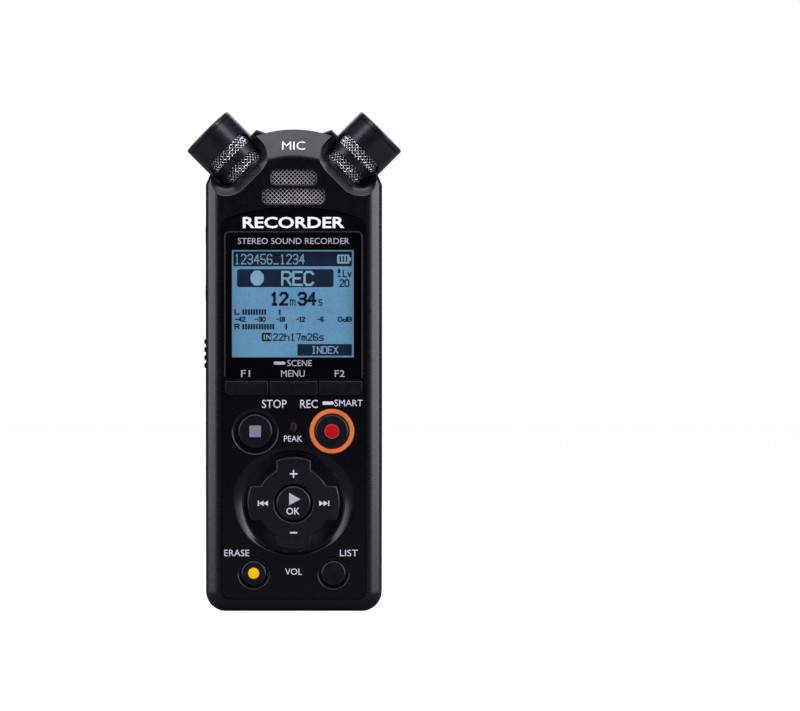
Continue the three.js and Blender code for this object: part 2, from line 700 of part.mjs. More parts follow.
function usbPort() {
  const [y, z] = [-1.75, 66];
  const outer = roundedRect(-1.6, 1.6, -4.47, 4.47, 1.5);
  const inner = roundedRect(-1.3, 1.3, -4.17, 4.17, 1.25);
  const along = (shape, from, to) => plate(shape, from, to, 3).rotate([0, 0, -90]);
  const shell = cut(along(outer, 10.9, 17.9), along(inner, 11.7, 18.5));
  const tongue = block([11.5, 17.2], [-0.35, 0.35], [-3.35, 3.35]);
  return join(shell, tongue).translate([0, y, z]);
}
add("usb_port", usbPort(), STEEL);

const cardY = -2.75;
const socket = block([1.2, 16.2], [BOARD_BACK + 0.05, -1.95], [72.8, 86.8]);
add("card_socket", cut(socket, block([1.9, 17], [cardY - 0.5, cardY + 0.5], [74.1, 85.5])), STEEL);
add("memory_card", block([2.7, 17.7], [cardY - 0.38, cardY + 0.38], [74.3, 85.3]), GLOSS);

// ---------------------------------------------------------------- microphones

function micParts(side, turn) {
  const head = new THREE.Group();
  head.position.z = MIC.crossing;
  head.rotation.y = turn;
  recorder.add(head);
  const { radius, bore, foot, end } = MIC;
  const seam = end - 1.2;
  const lathe = (profile, segments = 32) => turned(profile, "z", [0, 0, 0], segments);
  const tube = lathe([
    [1.2, foot],
    [radius, foot],
    [radius, seam],
    [bore, seam],
    [bore, foot + 0.9],
    [1.2, foot + 0.9],
    [1.2, foot],
  ], 32);
  const windows = (middle, half) => {
    const [low, high] = [middle - MIC.windowWidth / 2, middle + MIC.windowWidth / 2];
    const shape = roundedRect(-half, half, low, high, MIC.windowWidth / 2 - 0.01);
    return [plate(shape, -THROUGH, -MIC.sideWall, 3), plate(shape, MIC.sideWall, THROUGH, 3)];
  };
  const openings = [...windows(MIC.highWindow, 5.8), ...windows(MIC.lowWindow, 5.0)];
  add(`${side}_mic_barrel`, cut(tube, ...openings), SATIN, head);
  add(`${side}_mic_cap`, lathe([
    [0, seam - 0.9],
    [bore - SLIVER, seam - 0.9],
    [bore - SLIVER, seam + 0.05],
    [radius, seam + 0.05],
    [radius, end - 0.85],
    [radius - 0.75, end],
    [0, end],
  ]), SATIN, head);
  add(
    `${side}_mic_mesh`,
    lathe([[5.25, 14.8], [5.55, 14.8], [5.55, 22.6], [5.25, 22.6], [5.25, 14.8]], 24),
    STEEL,
    head,
  );
  add(`${side}_mic_capsule`, lathe([[0, 17], [3.6, 17], [3.6, 21.4], [0, 21.4]], 20), STEEL, head);
  add(
    `${side}_mic_mount`,
    lathe([[3.9, 17.8], [4.7, 17.8], [4.7, 20.4], [3.9, 20.4], [3.9, 17.8]], 20),
    RUBBER,
    head,
  );
  add(`${side}_mic_lead`, lathe([[0, 8.6], [0.55, 8.6], [0.55, 16.6], [0, 16.6]], 12), RUBBER, head);
}
micParts("left", -MIC.tilt);
micParts("right", MIC.tilt);

add("centre_mic_grille", plate(roundedRect(-7.6, 7.6, 91.1, 99.6, 1.3), FRONT + 0.65, FRONT + 0.95, 2), STEEL);
add("centre_mic_capsule", rod(3, FRONT + 1.3, FRONT + 3.5, "y", [0, 0, CENTRE_MIC_Z], 20), STEEL);
const bootProfile = [
  [3.05, FRONT + 1.1], [3.9, FRONT + 1.1], [3.9, FRONT + 3.8], [3.05, FRONT + 3.8], [3.05, FRONT + 1.1],
];
add("centre_mic_boot", turned(bootProfile, "y", [0, 0, CENTRE_MIC_Z], 20), RUBBER);

// ---------------------------------------------------------------- battery and its cover

const nub = { radius: 1.9, height: 1.1 };
const cellTop = BATTERY.bottom + BATTERY.length;
add("battery_cell", turned([
  [0, BATTERY.bottom],
  [BATTERY.radius, BATTERY.bottom],
  [BATTERY.radius, cellTop - nub.height],
  [nub.radius, cellTop - nub.height],
  [nub.radius, cellTop],
  [0, cellTop],
], "z", [0, BATTERY.y, 0], 28), CELL);
add(
  "battery_plate",
  block([-3.6, 3.6], [BATTERY.y - 3.6, BATTERY.y + 3.6], [cellTop + 0.1, cellTop + 0.45]),
  STEEL,
);

// The coned spring under the cell: a wire of round section along a rising, narrowing spiral.
function coilSpring() {
  const [turns, steps, wide, narrow, wire] = [2, 36, 3.9, 2.2, 0.3];
  const [low, high] = [5.3, BATTERY.bottom - 0.45];
  const points = Array.from({ length: steps + 1 }, (_, i) => {
    const share = i / steps;
    const angle = share * turns * 2 * Math.PI;
    const radius = wide + (narrow - wide) * share;
    return new THREE.Vector3(radius * Math.cos(angle), radius * Math.sin(angle), low + (high - low) * share);
  });
  const section = new THREE.Shape().absarc(0, 0, wire, 0, 2 * Math.PI);
  const extrudePath = new THREE.CatmullRomCurve3(points);
  return solid(new THREE.ExtrudeGeometry(section, { steps, extrudePath, curveSegments: 3 }));
}
add("battery_spring", coilSpring().translate([0, BATTERY.y, 0]), STEEL);

function batteryCover() {
  const { half, hingeY, hingeZ, knuckle, top } = COVER;
  const skin = block([-half, half], [BACK - 1.25, BACK], [hingeZ, top]);
  const barrel = rod(knuckle, -half, half, "x", [0, hingeY, hingeZ], 28);
  const rib = block([-4.2, 4.2], [BACK - 1.6, BACK - 1.2], [12, 48]);
  const bore = rod(0.5, -THROUGH, THROUGH, "x", [0, hingeY, hingeZ], 16);
  return cut(join(skin, barrel, rib), bore);
}
add("battery_cover", batteryCover(), SATIN);
add(
  "cover_hinge_pin",
  rod(0.4, -COVER.half - 0.7, COVER.half + 0.7, "x", [0, COVER.hingeY, COVER.hingeZ], 16),
  STEEL,
);

// ---------------------------------------------------------------- side door, slider and fittings

function sideDoor() {
  const { bottom, top, front, hingeX, hingeY, knuckle } = DOOR;
  const skin = block([18.5, HALF], [front, hingeY], [bottom, top]);
  const barrel = rod(knuckle, bottom, top, "z", [hingeX, hingeY, 0], 24);
  const bore = rod(0.45, -THROUGH, THROUGH * 4, "z", [hingeX, hingeY, 0], 16);
  const lip = block([HALF - 0.5, HALF + 1], [front - 1, front + 0.7], [71, 77]);
  return cut(join(skin, barrel), bore, lip);
}
add("side_door", sideDoor(), SATIN);
add(
  "door_hinge_pin",
  rod(0.35, DOOR.bottom - 0.8, DOOR.top + 0.8, "z", [DOOR.hingeX, DOOR.hingeY, 0], 16),
  STEEL,
);

function powerSlider() {
  const { z, half, ridges, pitch, proud } = SLIDER;
  const neck = block([-HALF + 0.05, -17.7], [-1.4, 1.4], [-half, half]);
  const flange = block([-18.1, -17.3], [-2.4, 2.4], [-7, 7]);
  const prong = block([-17.4, -16.5], [-3.4, -1.8], [-1, 1]);
  const grips = Array.from({ length: ridges }, (_, i) => {
    const middle = (i - (ridges - 1) / 2) * pitch;
    return block([-HALF - proud, -HALF + 0.1], [-1.4, 1.4], [middle - 0.56, middle + 0.56]);
  });
  const knob = add("power_slider", join(neck, flange, prong, ...grips), KEY);
  knob.position.z = z;
}
powerSlider();

add("tripod_socket", turned([
  [0, BACK - TRIPOD.length],
  [TRIPOD.radius, BACK - TRIPOD.length],
  [TRIPOD.radius, BACK - 0.8],
  [TRIPOD.flange, BACK - 0.8],
  [TRIPOD.flange, BACK - 0.05],
  [TRIPOD.bore, BACK - 0.05],
  [TRIPOD.bore, BACK - 6],
  [0, BACK - 6],
], "y", [0, 0, TRIPOD.z], 28), BRASS);

const screwProfile = [
  [0, -0.4], [0.75, -0.4], [0.75, BACK - 1.1], [1.7, BACK - 1.1], [1.7, BACK - 0.3], [1.2, BACK - 0.1],
  [0, BACK - 0.1],
];
const screwSlot = [
  block([-1, 1], [BACK - 0.6, BACK], [-0.18, 0.18]), block([-0.18, 0.18], [BACK - 0.6, BACK], [-1, 1]),
];
SCREWS.forEach(([x, z], i) => {
  add(
    `case_screw_${i + 1}`,
    cut(turned(screwProfile, "y", [0, 0, 0], 14), ...screwSlot),
    STEEL,
  ).position.set(x, 0, z);
});
add("strap_bar", rod(0.6, 10.5, 18.5, "z", [-18.6, 4.6, 0], 16), STEEL);

export default recorder;
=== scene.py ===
"""Looks of the portable field recorder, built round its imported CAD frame.

Shapes are drawn in millimetres, +Z up and facing -Y, and piece() brings them to metres.
"""

import math

import bmesh
import bpy
from mathutils import Matrix, Vector

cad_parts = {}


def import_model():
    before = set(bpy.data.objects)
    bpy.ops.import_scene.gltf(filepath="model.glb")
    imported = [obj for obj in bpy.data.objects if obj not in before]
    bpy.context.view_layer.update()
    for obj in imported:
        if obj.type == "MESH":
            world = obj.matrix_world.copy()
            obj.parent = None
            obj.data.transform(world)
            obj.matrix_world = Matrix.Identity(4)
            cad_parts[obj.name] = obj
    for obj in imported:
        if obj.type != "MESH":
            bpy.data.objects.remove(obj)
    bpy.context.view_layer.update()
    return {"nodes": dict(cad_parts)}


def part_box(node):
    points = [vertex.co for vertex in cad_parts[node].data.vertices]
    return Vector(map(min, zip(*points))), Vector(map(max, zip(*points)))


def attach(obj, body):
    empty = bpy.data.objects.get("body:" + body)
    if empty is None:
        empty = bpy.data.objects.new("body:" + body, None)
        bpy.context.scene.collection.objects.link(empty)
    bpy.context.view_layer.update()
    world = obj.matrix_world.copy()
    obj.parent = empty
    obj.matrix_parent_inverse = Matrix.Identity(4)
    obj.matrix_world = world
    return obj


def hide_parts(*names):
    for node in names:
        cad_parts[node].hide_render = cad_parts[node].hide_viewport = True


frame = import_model()
NODES = frame["nodes"]
MM = 0.001
ROOT = "recorder"


def mm_box(node):
    low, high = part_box(node)
    return [1000 * v for v in low], [1000 * v for v in high]


# ---- sizes, in millimetres

FRONT = mm_box("front_case")[0][1]
BACK = mm_box("rear_case")[1][1]
HALF = mm_box("front_case")[1][0]
WALL = 1.6
FRONT_WALL_BACK = FRONT + 2.2
BACK_WALL_FRONT = BACK - WALL
ARCH_R, ARCH_Z = 25.7, 82.6
CROSSING = 88.4
BARREL_R, BARREL_END = 6.4, 27.9
PANEL_FRONT = mm_box("control_panel")[0][1]
PANEL_BACK = mm_box("control_panel")[1][1]
LENS_FRONT = mm_box("display_lens")[0][1]
LENS_BACK = mm_box("display_lens")[1][1]
STEM_END = mm_box("stop_button")[1][1]
PAD_Z = 24.3
STOP, REC = (-8.6, 40.45), (8.6, 40.45)
ERASE, LIST = (-8.95, 8.6), (8.95, 8.6)
SCREWS = [(-15.4, 6.2), (15.4, 6.2), (-11.6, 90.2), (11.6, 90.2)]
JACKS = {"headphone_jack": 84.7, "microphone_jack": 71.5}
COVER = dict(half=13.0, z=6.7, y=BACK - 0.85, r=0.85, top=54.4)
DOOR = dict(bottom=60.0, top=88.0, front=-5.0, x=19.05, y=0.6, r=0.75)
TRIPOD_Z, SPEAKER_Z, SLIDER_Z = 60.5, 78.0, 57.9
SHOULDER_X, SHOULDER_Z = 17.45, 95.9  # where the sides lean in, and where they meet the arch
BOTTOM_CORNER = 4.5
BROW_START, BROW_EASE, BROW_SLOPE = 18.7, 1.5, 3.3 / (ARCH_R - 19.4)
PANEL_HALF, PANEL_CORNER, PANEL_ARC = 16.2, 1.8, 47
SEAT_TOP = 20.24  # how far the case reaches along a microphone's axis
SLIDER_HALF, SLIDER_TRAVEL = 3.25, 1.8
LCD_PITCH = 0.22  # of the display's dot grid


# ---- shape helpers


def arc(cx, cz, r, a0, a1, n):
    return [
        (cx + r * math.cos(a0 + (a1 - a0) * i / n), cz + r * math.sin(a0 + (a1 - a0) * i / n))
        for i in range(n + 1)
    ]


def clean(points, tiny=1e-5):
    """A counter-clockwise loop with doubled points dropped."""
    kept = []
    for p in points:
        if not kept or math.dist(p, kept[-1]) > tiny:
            kept.append(p)
    if math.dist(kept[0], kept[-1]) <= tiny:
        kept.pop()
    area = sum(a[0] * b[1] - b[0] * a[1] for a, b in zip(kept, kept[1:] + kept[:1]))
    return kept if area > 0 else kept[::-1]


def rounded(x0, x1, z0, z1, r, n=8):
    """A rectangle with its corners rounded: low left, low right, high right, high left."""
    a, b, c, d = r if isinstance(r, (list, tuple)) else (r,) * 4
    q = math.pi / 2
    return clean(
        arc(x1 - b, z0 + b, b, -q, 0, n)
        + arc(x1 - c, z1 - c, c, 0, q, n)
        + arc(x0 + d, z1 - d, d, q, 2 * q, n)
        + arc(x0 + a, z0 + a, a, 2 * q, 3 * q, n)
    )


def centred(x, z, w, h, r, n=8):
    """A rounded rectangle round (x, z), given by half its width and half its height."""
    return rounded(x - w, x + w, z - h, z + h, r, n)


def inset(loop, distance):
    """The loop moved inwards, each corner along its own bisector."""
    moved = []
    for i, p in enumerate(loop):
        a, b = Vector(loop[i - 1]), Vector(loop[(i + 1) % len(loop)])
        q = Vector(p)
        before, after = (q - a).normalized(), (b - q).normalized()
        inward = Vector((-(before.y + after.y), before.x + after.x)).normalized()
        sine = max(before.x * inward.y - before.y * inward.x, 0.35)
        moved.append(tuple(q + inward * (distance / sine)))
    return moved


def placed(name, data):
    """A new object in the scene."""
    obj = bpy.data.objects.new(name, data)
    bpy.context.scene.collection.objects.link(obj)
    return obj


def object_of(name, verts, faces):
    mesh = bpy.data.meshes.new(name)
    mesh.from_pydata(verts, [], faces)
    mesh.update()
    return placed(name, mesh)


def object_from(bm, name):
    """The bmesh as a new object."""
    mesh = bpy.data.meshes.new(name)
    bm.to_mesh(mesh)
    bm.free()
    return placed(name, mesh)


def loft(name, rings, ends=True, closed=False):
    """A body through rings of points of equal count."""
    n = len(rings[0])
    verts = [p for ring in rings for p in ring]
    faces = []
    last = len(rings) if closed else len(rings) - 1
    for r in range(last):
        a0, b0 = r * n, ((r + 1) % len(rings)) * n
        for i in range(n):
            j = (i + 1) % n
            faces.append((a0 + i, a0 + j, b0 + j, b0 + i))
    if ends and not closed:
        faces.append(tuple(reversed(range(n))))
        faces.append(tuple((len(rings) - 1) * n + i for i in range(n)))
    obj = object_of(name, verts, faces)
    bm = bmesh.new()
    bm.from_mesh(obj.data)
    bmesh.ops.remove_doubles(bm, verts=bm.verts, dist=1e-6)
    bmesh.ops.recalc_face_normals(bm, faces=bm.faces)
    bm.to_mesh(obj.data)
    bm.free()
    return obj


def stack(name, levels):
    """A body through front-view loops, each at its own depth: [(loop, y), ...]."""
    return loft(name, [[(x, y, z) for x, z in loop] for loop, y in levels])


def side_stack(name, levels):
    """A body through side-view loops of (y, z), each at its own x: [(loop, x), ...]."""
    return loft(name, [[(x, y, z) for y, z in loop] for loop, x in levels])


def plate(name, loop, y0, y1, edge=0.0, back_edge=0.0, steps=4):
    """A plate between two depths, with its front edge rounded over."""
    levels = []
    for i in range(steps + 1):
        a = math.pi / 2 * i / steps
        if edge:
            levels.append((inset(loop, edge * (1 - math.sin(a))), y0 + edge * (1 - math.cos(a))))
    if not edge:
        levels.append((loop, y0))
    if back_edge:
        levels += [(loop, y1 - back_edge), (inset(loop, back_edge), y1)]
    else:
        levels.append((loop, y1))
    return stack(name, levels)


AXES = {
    "y": Matrix.Identity(4),
    "z": Matrix.Rotation(math.pi / 2, 4, "X"),
    "x": Matrix.Rotation(-math.pi / 2, 4, "Z"),
}


def lathe(name, profile, axis="y", at=(0, 0, 0), n=64):
    """A profile of (radius, distance) turned about an axis; a profile that ends where it began is a ring."""
    closed = profile[0] == profile[-1]
    points = profile[:-1] if closed else profile
    rings = []
    for r, d in points:
        r = max(r, 1e-4)
        rings.append(
            [
                (r * math.cos(2 * math.pi * (k + 0.5) / n), d, -r * math.sin(2 * math.pi * (k + 0.5) / n))
                for k in range(n)
            ]
        )
    obj = loft(name, rings, closed=closed)
    obj.data.transform(Matrix.Translation(at) @ AXES[axis])
    return obj


def box(name, x, y, z, edge=0.0):
    """A block with its long edges rounded, as three ranges."""
    r = max(edge, 1e-3)
    loop = rounded(x[0], x[1], z[0], z[1], r, 4 if edge else 1)
    return plate(name, loop, y[0], y[1], edge=edge, back_edge=edge)


def hoop(r0, r1, a, b):
    """The profile of a square-edged ring."""
    return [(r0, a), (r1, a), (r1, b), (r0, b), (r0, a)]


def rod(r, a, b, axis, at, n=32):
    return lathe("tool", [(0, a), (r, a), (r, b), (0, b)], axis, at, n)


def baked(obj):
    """The object's mesh with its modifiers applied."""
    bpy.context.view_layer.update()
    evaluated = obj.evaluated_get(bpy.context.evaluated_depsgraph_get())
    mesh = bpy.data.meshes.new_from_object(evaluated)
    obj.modifiers.clear()
    old, obj.data = obj.data, mesh
    bpy.data.meshes.remove(old)
    return obj


def combine(body, tools, operation):
    for tool in tools:
        modifier = body.modifiers.new("b", "BOOLEAN")
        modifier.operation = operation
        modifier.solver = "MANIFOLD"
        modifier.object = tool
    baked(body)
    for tool in tools:
        mesh = tool.data
        bpy.data.objects.remove(tool)
        bpy.data.meshes.remove(mesh)
    return body


def cut(body, *tools):
    return combine(body, tools, "DIFFERENCE")


def join(body, *tools):
    return combine(body, tools, "UNION")


def keep(body, *tools):
    return combine(body, tools, "INTERSECT")


def flip(obj, axis=0):
    scale = [1, 1, 1]
    scale[axis] = -1
    obj.data.transform(Matrix.Diagonal((*scale, 1)))
    obj.data.flip_normals()
    return obj


def both(obj):
    copy = obj.copy()
    copy.data = obj.data.copy()
    bpy.context.scene.collection.objects.link(copy)
    return [obj, flip(copy)]


LEFT_MIC = Matrix.Translation((0, 0, CROSSING)) @ Matrix.Rotation(-math.pi / 4, 4, "Y")


def on_left_axis(obj):
    """Moves a body drawn along +Z from the crossing on to the left microphone's axis."""
    obj.data.transform(LEFT_MIC)
    return obj


def piece(obj, body, look, replaces=(), angle=32, name=None, thin_out=True):
    """Finishes a body: real size, smooth faces with sharp corners, its material and its CAD body."""
    if name:
        obj.name = name
    mesh = obj.data
    bm = bmesh.new()
    bm.from_mesh(mesh)
    bmesh.ops.remove_doubles(bm, verts=bm.verts, dist=2e-4)
    bmesh.ops.dissolve_degenerate(bm, edges=bm.edges, dist=1e-4)
    if thin_out:
        bmesh.ops.dissolve_limit(bm, angle_limit=math.radians(0.4), verts=bm.verts, edges=bm.edges)
    limit = math.radians(angle)
    for face in bm.faces:
        face.smooth = True
    for edge in bm.edges:
        edge.smooth = len(edge.link_faces) == 2 and edge.calc_face_angle(0) < limit
    bm.to_mesh(mesh)
    bm.free()
    mesh.transform(Matrix.Scale(MM, 4))
    mesh.materials.clear()
    mesh.materials.append(LOOK[look])
    modifier = obj.modifiers.new("even_shading", "WEIGHTED_NORMAL")
    modifier.keep_sharp = True
    modifier.weight = 80
    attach(obj, body)
    if replaces:
        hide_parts(*([replaces] if isinstance(replaces, str) else replaces))
    return obj


# ---- materials


def node(tree, kind, **values):
    made = tree.nodes.new(kind)
    for key, value in values.items():
        if key in made.inputs:
            made.inputs[key].default_value = value
        else:
            setattr(made, key, value)
    return made


def bare_tree(owner):
    """The node tree of a material or a world, emptied."""
    owner.use_nodes = True
    owner.node_tree.nodes.clear()
    return owner.node_tree


def ranged(tree, source, low, high, out_low, out_high):
    """The source's values from low to high, spread over a new range."""
    made = node(tree, "ShaderNodeMapRange")
    for key, value in zip(("From Min", "From Max", "To Min", "To Max"), (low, high, out_low, out_high)):
        made.inputs[key].default_value = value
    tree.links.new(source, made.inputs["Value"])
    return made.outputs[0]


def product(tree, a, b):
    made = node(tree, "ShaderNodeMath", operation="MULTIPLY")
    tree.links.new(a, made.inputs[0])
    tree.links.new(b, made.inputs[1])
    return made.outputs[0]


def linear(c):
    """A display value of 0 to 255 as light."""
    c /= 255
    return c / 12.92 if c <= 0.04045 else ((c + 0.055) / 1.055) ** 2.4


def material(
    name, color, rough=0.45, metal=0.0, grain=0.1, bump=0.12, vary=0.12, spread=0.06, coat=0.0,
    stretch=(1, 1, 1), emission=0.0, specular=0.5
):
    """A surface with fine grain (its size in millimetres), slow drift of its colour and scuffed gloss."""
    mat = bpy.data.materials.new(name)
    tree = bare_tree(mat)
    link = tree.links.new
    out = node(tree, "ShaderNodeOutputMaterial")
    shader = node(tree, "ShaderNodeBsdfPrincipled", Metallic=metal)
    shader.inputs["Specular IOR Level"].default_value = specular
    if coat:
        shader.inputs["Coat Weight"].default_value = coat
        shader.inputs["Coat Roughness"].default_value = 0.06
    link(shader.outputs[0], out.inputs[0])
    place = node(tree, "ShaderNodeTexCoord")
    mapping = node(tree, "ShaderNodeMapping", Scale=[1000 * s for s in stretch])
    link(place.outputs["Object"], mapping.inputs[0])
    fine = node(tree, "ShaderNodeTexNoise", Scale=1 / grain, Detail=3.0, Roughness=0.6)
    slow = node(tree, "ShaderNodeTexNoise", Scale=0.16, Detail=4.0, Roughness=0.55)
    scuff = node(tree, "ShaderNodeTexNoise", Scale=0.7, Detail=5.0, Roughness=0.7)
    for noise in (fine, slow, scuff):
        link(mapping.outputs[0], noise.inputs["Vector"])
    drift = ranged(tree, slow.outputs["Fac"], 0.3, 0.7, 1 - vary, 1 + vary)
    speck = ranged(tree, fine.outputs["Fac"], 0.35, 0.75, 1 - vary / 2, 1 + vary / 2)
    tint = node(tree, "ShaderNodeVectorMath", operation="SCALE")
    tint.inputs[0].default_value = [linear(c) for c in color]
    link(product(tree, drift, speck), tint.inputs["Scale"])
    link(tint.outputs[0], shader.inputs["Base Color"])
    rub = ranged(tree, scuff.outputs["Fac"], 0.35, 0.7, rough - spread, rough + spread)
    link(rub, shader.inputs["Roughness"])
    relief = node(tree, "ShaderNodeBump", Strength=bump, Distance=grain * MM * 0.5)
    link(fine.outputs["Fac"], relief.inputs["Height"])
    link(relief.outputs[0], shader.inputs["Normal"])
    # Emission makes the surface shine by itself; on printed marks it is a painted glow, as print is no lamp.
    if emission:
        link(tint.outputs[0], shader.inputs["Emission Color"])
        shader.inputs["Emission Strength"].default_value = emission
    return mat


LOOK = dict(
    case=material(
        "satin_black_case", (8, 8, 12), rough=0.27, grain=0.12, bump=0.08, vary=0.1, spread=0.03,
        specular=0.65
    ),
    face=material("smooth_dark_panel", (5, 6, 10), rough=0.23, grain=0.14, bump=0.06, spread=0.03),
    lens=material("black_lens_print", (3, 3, 5), rough=0.12, grain=0.5, bump=0.02, spread=0.02),
    key=material("matte_key", (11, 12, 17), rough=0.34, bump=0.12),
    pad=material("matte_pad", (18, 19, 27), rough=0.32, bump=0.1),
    slider=material("slider_plastic", (14, 14, 17), rough=0.42, bump=0.15),
    barrel=material("anodised_barrel", (62, 62, 68), rough=0.3, metal=0.85, bump=0.06),
    cap=material("anodised_cap", (64, 64, 70), rough=0.28, metal=0.85, bump=0.06),
    # A lighter grey for the strip round the lens: a painted highlight where the lens edge catches the light.
    lip=material("painted_lens_edge_highlight", (84, 84, 92), rough=0.35, metal=0.3, bump=0.05),
    wire=material("steel_wire", (252, 252, 255), rough=0.26, metal=0.8, grain=0.05, bump=0.1),
    dull_wire=material("dark_steel_wire", (240, 240, 246), rough=0.42, metal=0.5, grain=0.05, bump=0.1),
    steel=material(
        "plain_steel", (176, 178, 184), rough=0.3, metal=1.0, grain=0.2, bump=0.08, stretch=(1, 1, 6)
    ),
    dark_steel=material("blackened_steel", (40, 40, 44), rough=0.35, metal=0.9, grain=0.12, bump=0.1),
    brass=material("turned_brass", (190, 152, 84), rough=0.26, metal=1.0, grain=0.15, bump=0.08, vary=0.05),
    # Near-black backing behind the wire meshes: painted shade standing in for the dim hollow inside the
    # microphones.
    shade_backing=material("dark_foam", (2, 2, 3), rough=0.95, grain=0.3, bump=0.8, vary=0.3, specular=0.05),
    rubber=material("grey_silicone", (58, 58, 62), rough=0.75, grain=0.15, bump=0.2),
    board=material("green_board", (28, 92, 56), rough=0.35, grain=0.5, bump=0.15, vary=0.2, coat=0.3),
    ring=material("orange_light_ring", (230, 122, 68), rough=0.35, grain=0.3, bump=0.05, emission=0.14),
    # The printed marks from here to the dim print carry a faint emission: a painted glow that brightens the
    # print.
    red=material("red_print", (200, 6, 20), rough=0.5, emission=0.12, specular=0.2),
    yellow=material("yellow_print", (243, 198, 2), rough=0.5, emission=0.22, specular=0.2),
    # The next two colour the thin pale rings round the record and erase dots: painted highlights on the dots'
    # rims, with a painted glow.
    dim_red=material("painted_red_rim_highlight", (176, 118, 128), rough=0.5, emission=0.1, specular=0.2),
    dim_yellow=material("painted_yellow_rim_highlight", (206, 190, 120), rough=0.5, emission=0.1, specular=0.2),
    grey_print=material("grey_print", (134, 136, 154), rough=0.55, emission=0.1),
    mid_print=material("mid_grey_print", (186, 187, 200), rough=0.55, emission=0.14),
    title=material("bright_print", (236, 236, 240), rough=0.5, vary=0.04, emission=0.5),
    print_white=material("pale_print", (206, 206, 216), rough=0.55, vary=0.06, emission=0.3),
    print_dim=material("dim_print", (176, 176, 188), rough=0.55, vary=0.06, emission=0.25),
    lcd_dark=material("lcd_segments", (18, 42, 66), rough=0.4, grain=0.2, bump=0.02, vary=0.12, emission=0.2),
    lcd_pale=material(
        "lcd_clear_segments", (121, 155, 176), rough=0.4, grain=0.2, bump=0.02, vary=0.05, emission=0.8
    ),
    cell=material("battery_sleeve", (46, 92, 128), rough=0.3, metal=0.4, grain=0.3, bump=0.05, coat=0.4),
    cell_end=material("battery_band", (196, 198, 202), rough=0.3, metal=0.8, grain=0.2, bump=0.05),
    card=material("card_black", (16, 16, 18), rough=0.4, grain=0.2, bump=0.1),
    cone=material("speaker_cone", (30, 28, 28), rough=0.6, grain=0.25, bump=0.4),
    gold=material("gold_contacts", (206, 168, 90), rough=0.25, metal=1.0, bump=0.05),
    pipe_off=material("smoked_light_pipe", (34, 28, 32), rough=0.22, grain=0.2, bump=0.03, coat=0.3),
    wire_black=material("cable_jacket", (24, 24, 26), rough=0.5, grain=0.2, bump=0.2),
)


def lcd_material():
    """The display's blue ground: an even glow over a fine dot grid."""
    mat = material("lcd_ground", (94, 139, 170), rough=0.3, grain=0.3, bump=0.01, vary=0.04, emission=0.86)
    tree = mat.node_tree
    shader = next(n for n in tree.nodes if n.type == "BSDF_PRINCIPLED")
    tint = shader.inputs["Base Color"].links[0].from_node
    gain = tint.inputs["Scale"].links[0].from_socket
    place = node(tree, "ShaderNodeTexCoord")
    split = node(tree, "ShaderNodeSeparateXYZ")
    tree.links.new(place.outputs["Object"], split.inputs[0])
    for axis in ("X", "Z"):
        wave = node(tree, "ShaderNodeMath", operation="MULTIPLY")
        wave.inputs[1].default_value = 2 * math.pi / (LCD_PITCH * MM)
        tree.links.new(split.outputs[axis], wave.inputs[0])
        sine = node(tree, "ShaderNodeMath", operation="SINE")
        tree.links.new(wave.outputs[0], sine.inputs[0])
        gain = product(tree, gain, ranged(tree, sine.outputs[0], 0.75, 1.0, 1.0, 0.86))
    tree.links.new(gain, tint.inputs["Scale"])
    return mat


def pane_material():
    """The clear part of the lens: it lets light straight through and adds a reflection."""
    mat = bpy.data.materials.new("clear_lens")
    tree = bare_tree(mat)
    link = tree.links.new
    out = node(tree, "ShaderNodeOutputMaterial")
    shader = node(tree, "ShaderNodeBsdfPrincipled", Metallic=0.0)
    for key, value in {"Alpha": 0.12, "Coat Weight": 1.0, "Coat Roughness": 0.04}.items():
        shader.inputs[key].default_value = value
    place = node(tree, "ShaderNodeTexCoord")
    noise = node(tree, "ShaderNodeTexNoise", Scale=300.0, Detail=3.0)
    link(place.outputs["Object"], noise.inputs["Vector"])
    smear = ranged(tree, noise.outputs["Fac"], 0.3, 0.7, 0.05, 0.12)
    link(smear, shader.inputs["Roughness"])
    tone = node(tree, "ShaderNodeVectorMath", operation="SCALE")
    tone.inputs[0].default_value = (0.05, 0.06, 0.07)
    link(smear, tone.inputs["Scale"])
    link(tone.outputs[0], shader.inputs["Base Color"])
    link(shader.outputs[0], out.inputs[0])
    return mat


LOOK["lcd"] = lcd_material()
LOOK["pane"] = pane_material()


# ---- casing


def body_loop(n=16):
    start = math.acos(SHOULDER_X / ARCH_R)
    q = math.pi / 2
    r = BOTTOM_CORNER
    return clean(
        arc(HALF - r, r, r, -q, 0, n)
        + [(HALF, 30), (HALF, 60), (HALF, SHOULDER_Z)]
        + arc(0, ARCH_Z, ARCH_R, start, math.pi - start, 3 * n)
        + [(-HALF, SHOULDER_Z), (-HALF, 60), (-HALF, 30)]
        + arc(-HALF + r, r, r, 2 * q, 3 * q, n)
    )


OUTLINE = body_loop()
SEAM = 0.14


def rim(across, deep, face, inwards, steps=12):
    rings = []
    for i in range(steps + 1):
        a = math.pi / 2 * i / steps
        rings.append((inset(OUTLINE, across * (1 - math.sin(a))), face + inwards * deep * (1 - math.cos(a))))
    return rings


def brow_depth(r):
    """How far the brow's face lies behind the flat front, at a distance from the arch's centre."""
    past = max(r - BROW_START, 0)
    return BROW_SLOPE * (past * past / (2 * BROW_EASE) if past < BROW_EASE else past - BROW_EASE / 2)


def brow_keep():
    profile = [(0, FRONT - 2), (BROW_START, FRONT - 2)]
    profile += [(r, FRONT - 0.003 + brow_depth(r)) for r in (BROW_START + 0.25 * i for i in range(8))]
    profile += [(60, FRONT + brow_depth(60)), (0, FRONT + brow_depth(60))]
    cone = lathe("keep", profile, "y", (0, 0, ARCH_Z), 200)
    below = box("below", (-40, 40), (-40, 40), (-1, 96))
    sides = both(box("beside", (9.3, 40), (-40, 40), (90, 120)))
    return join(cone, below, *sides)


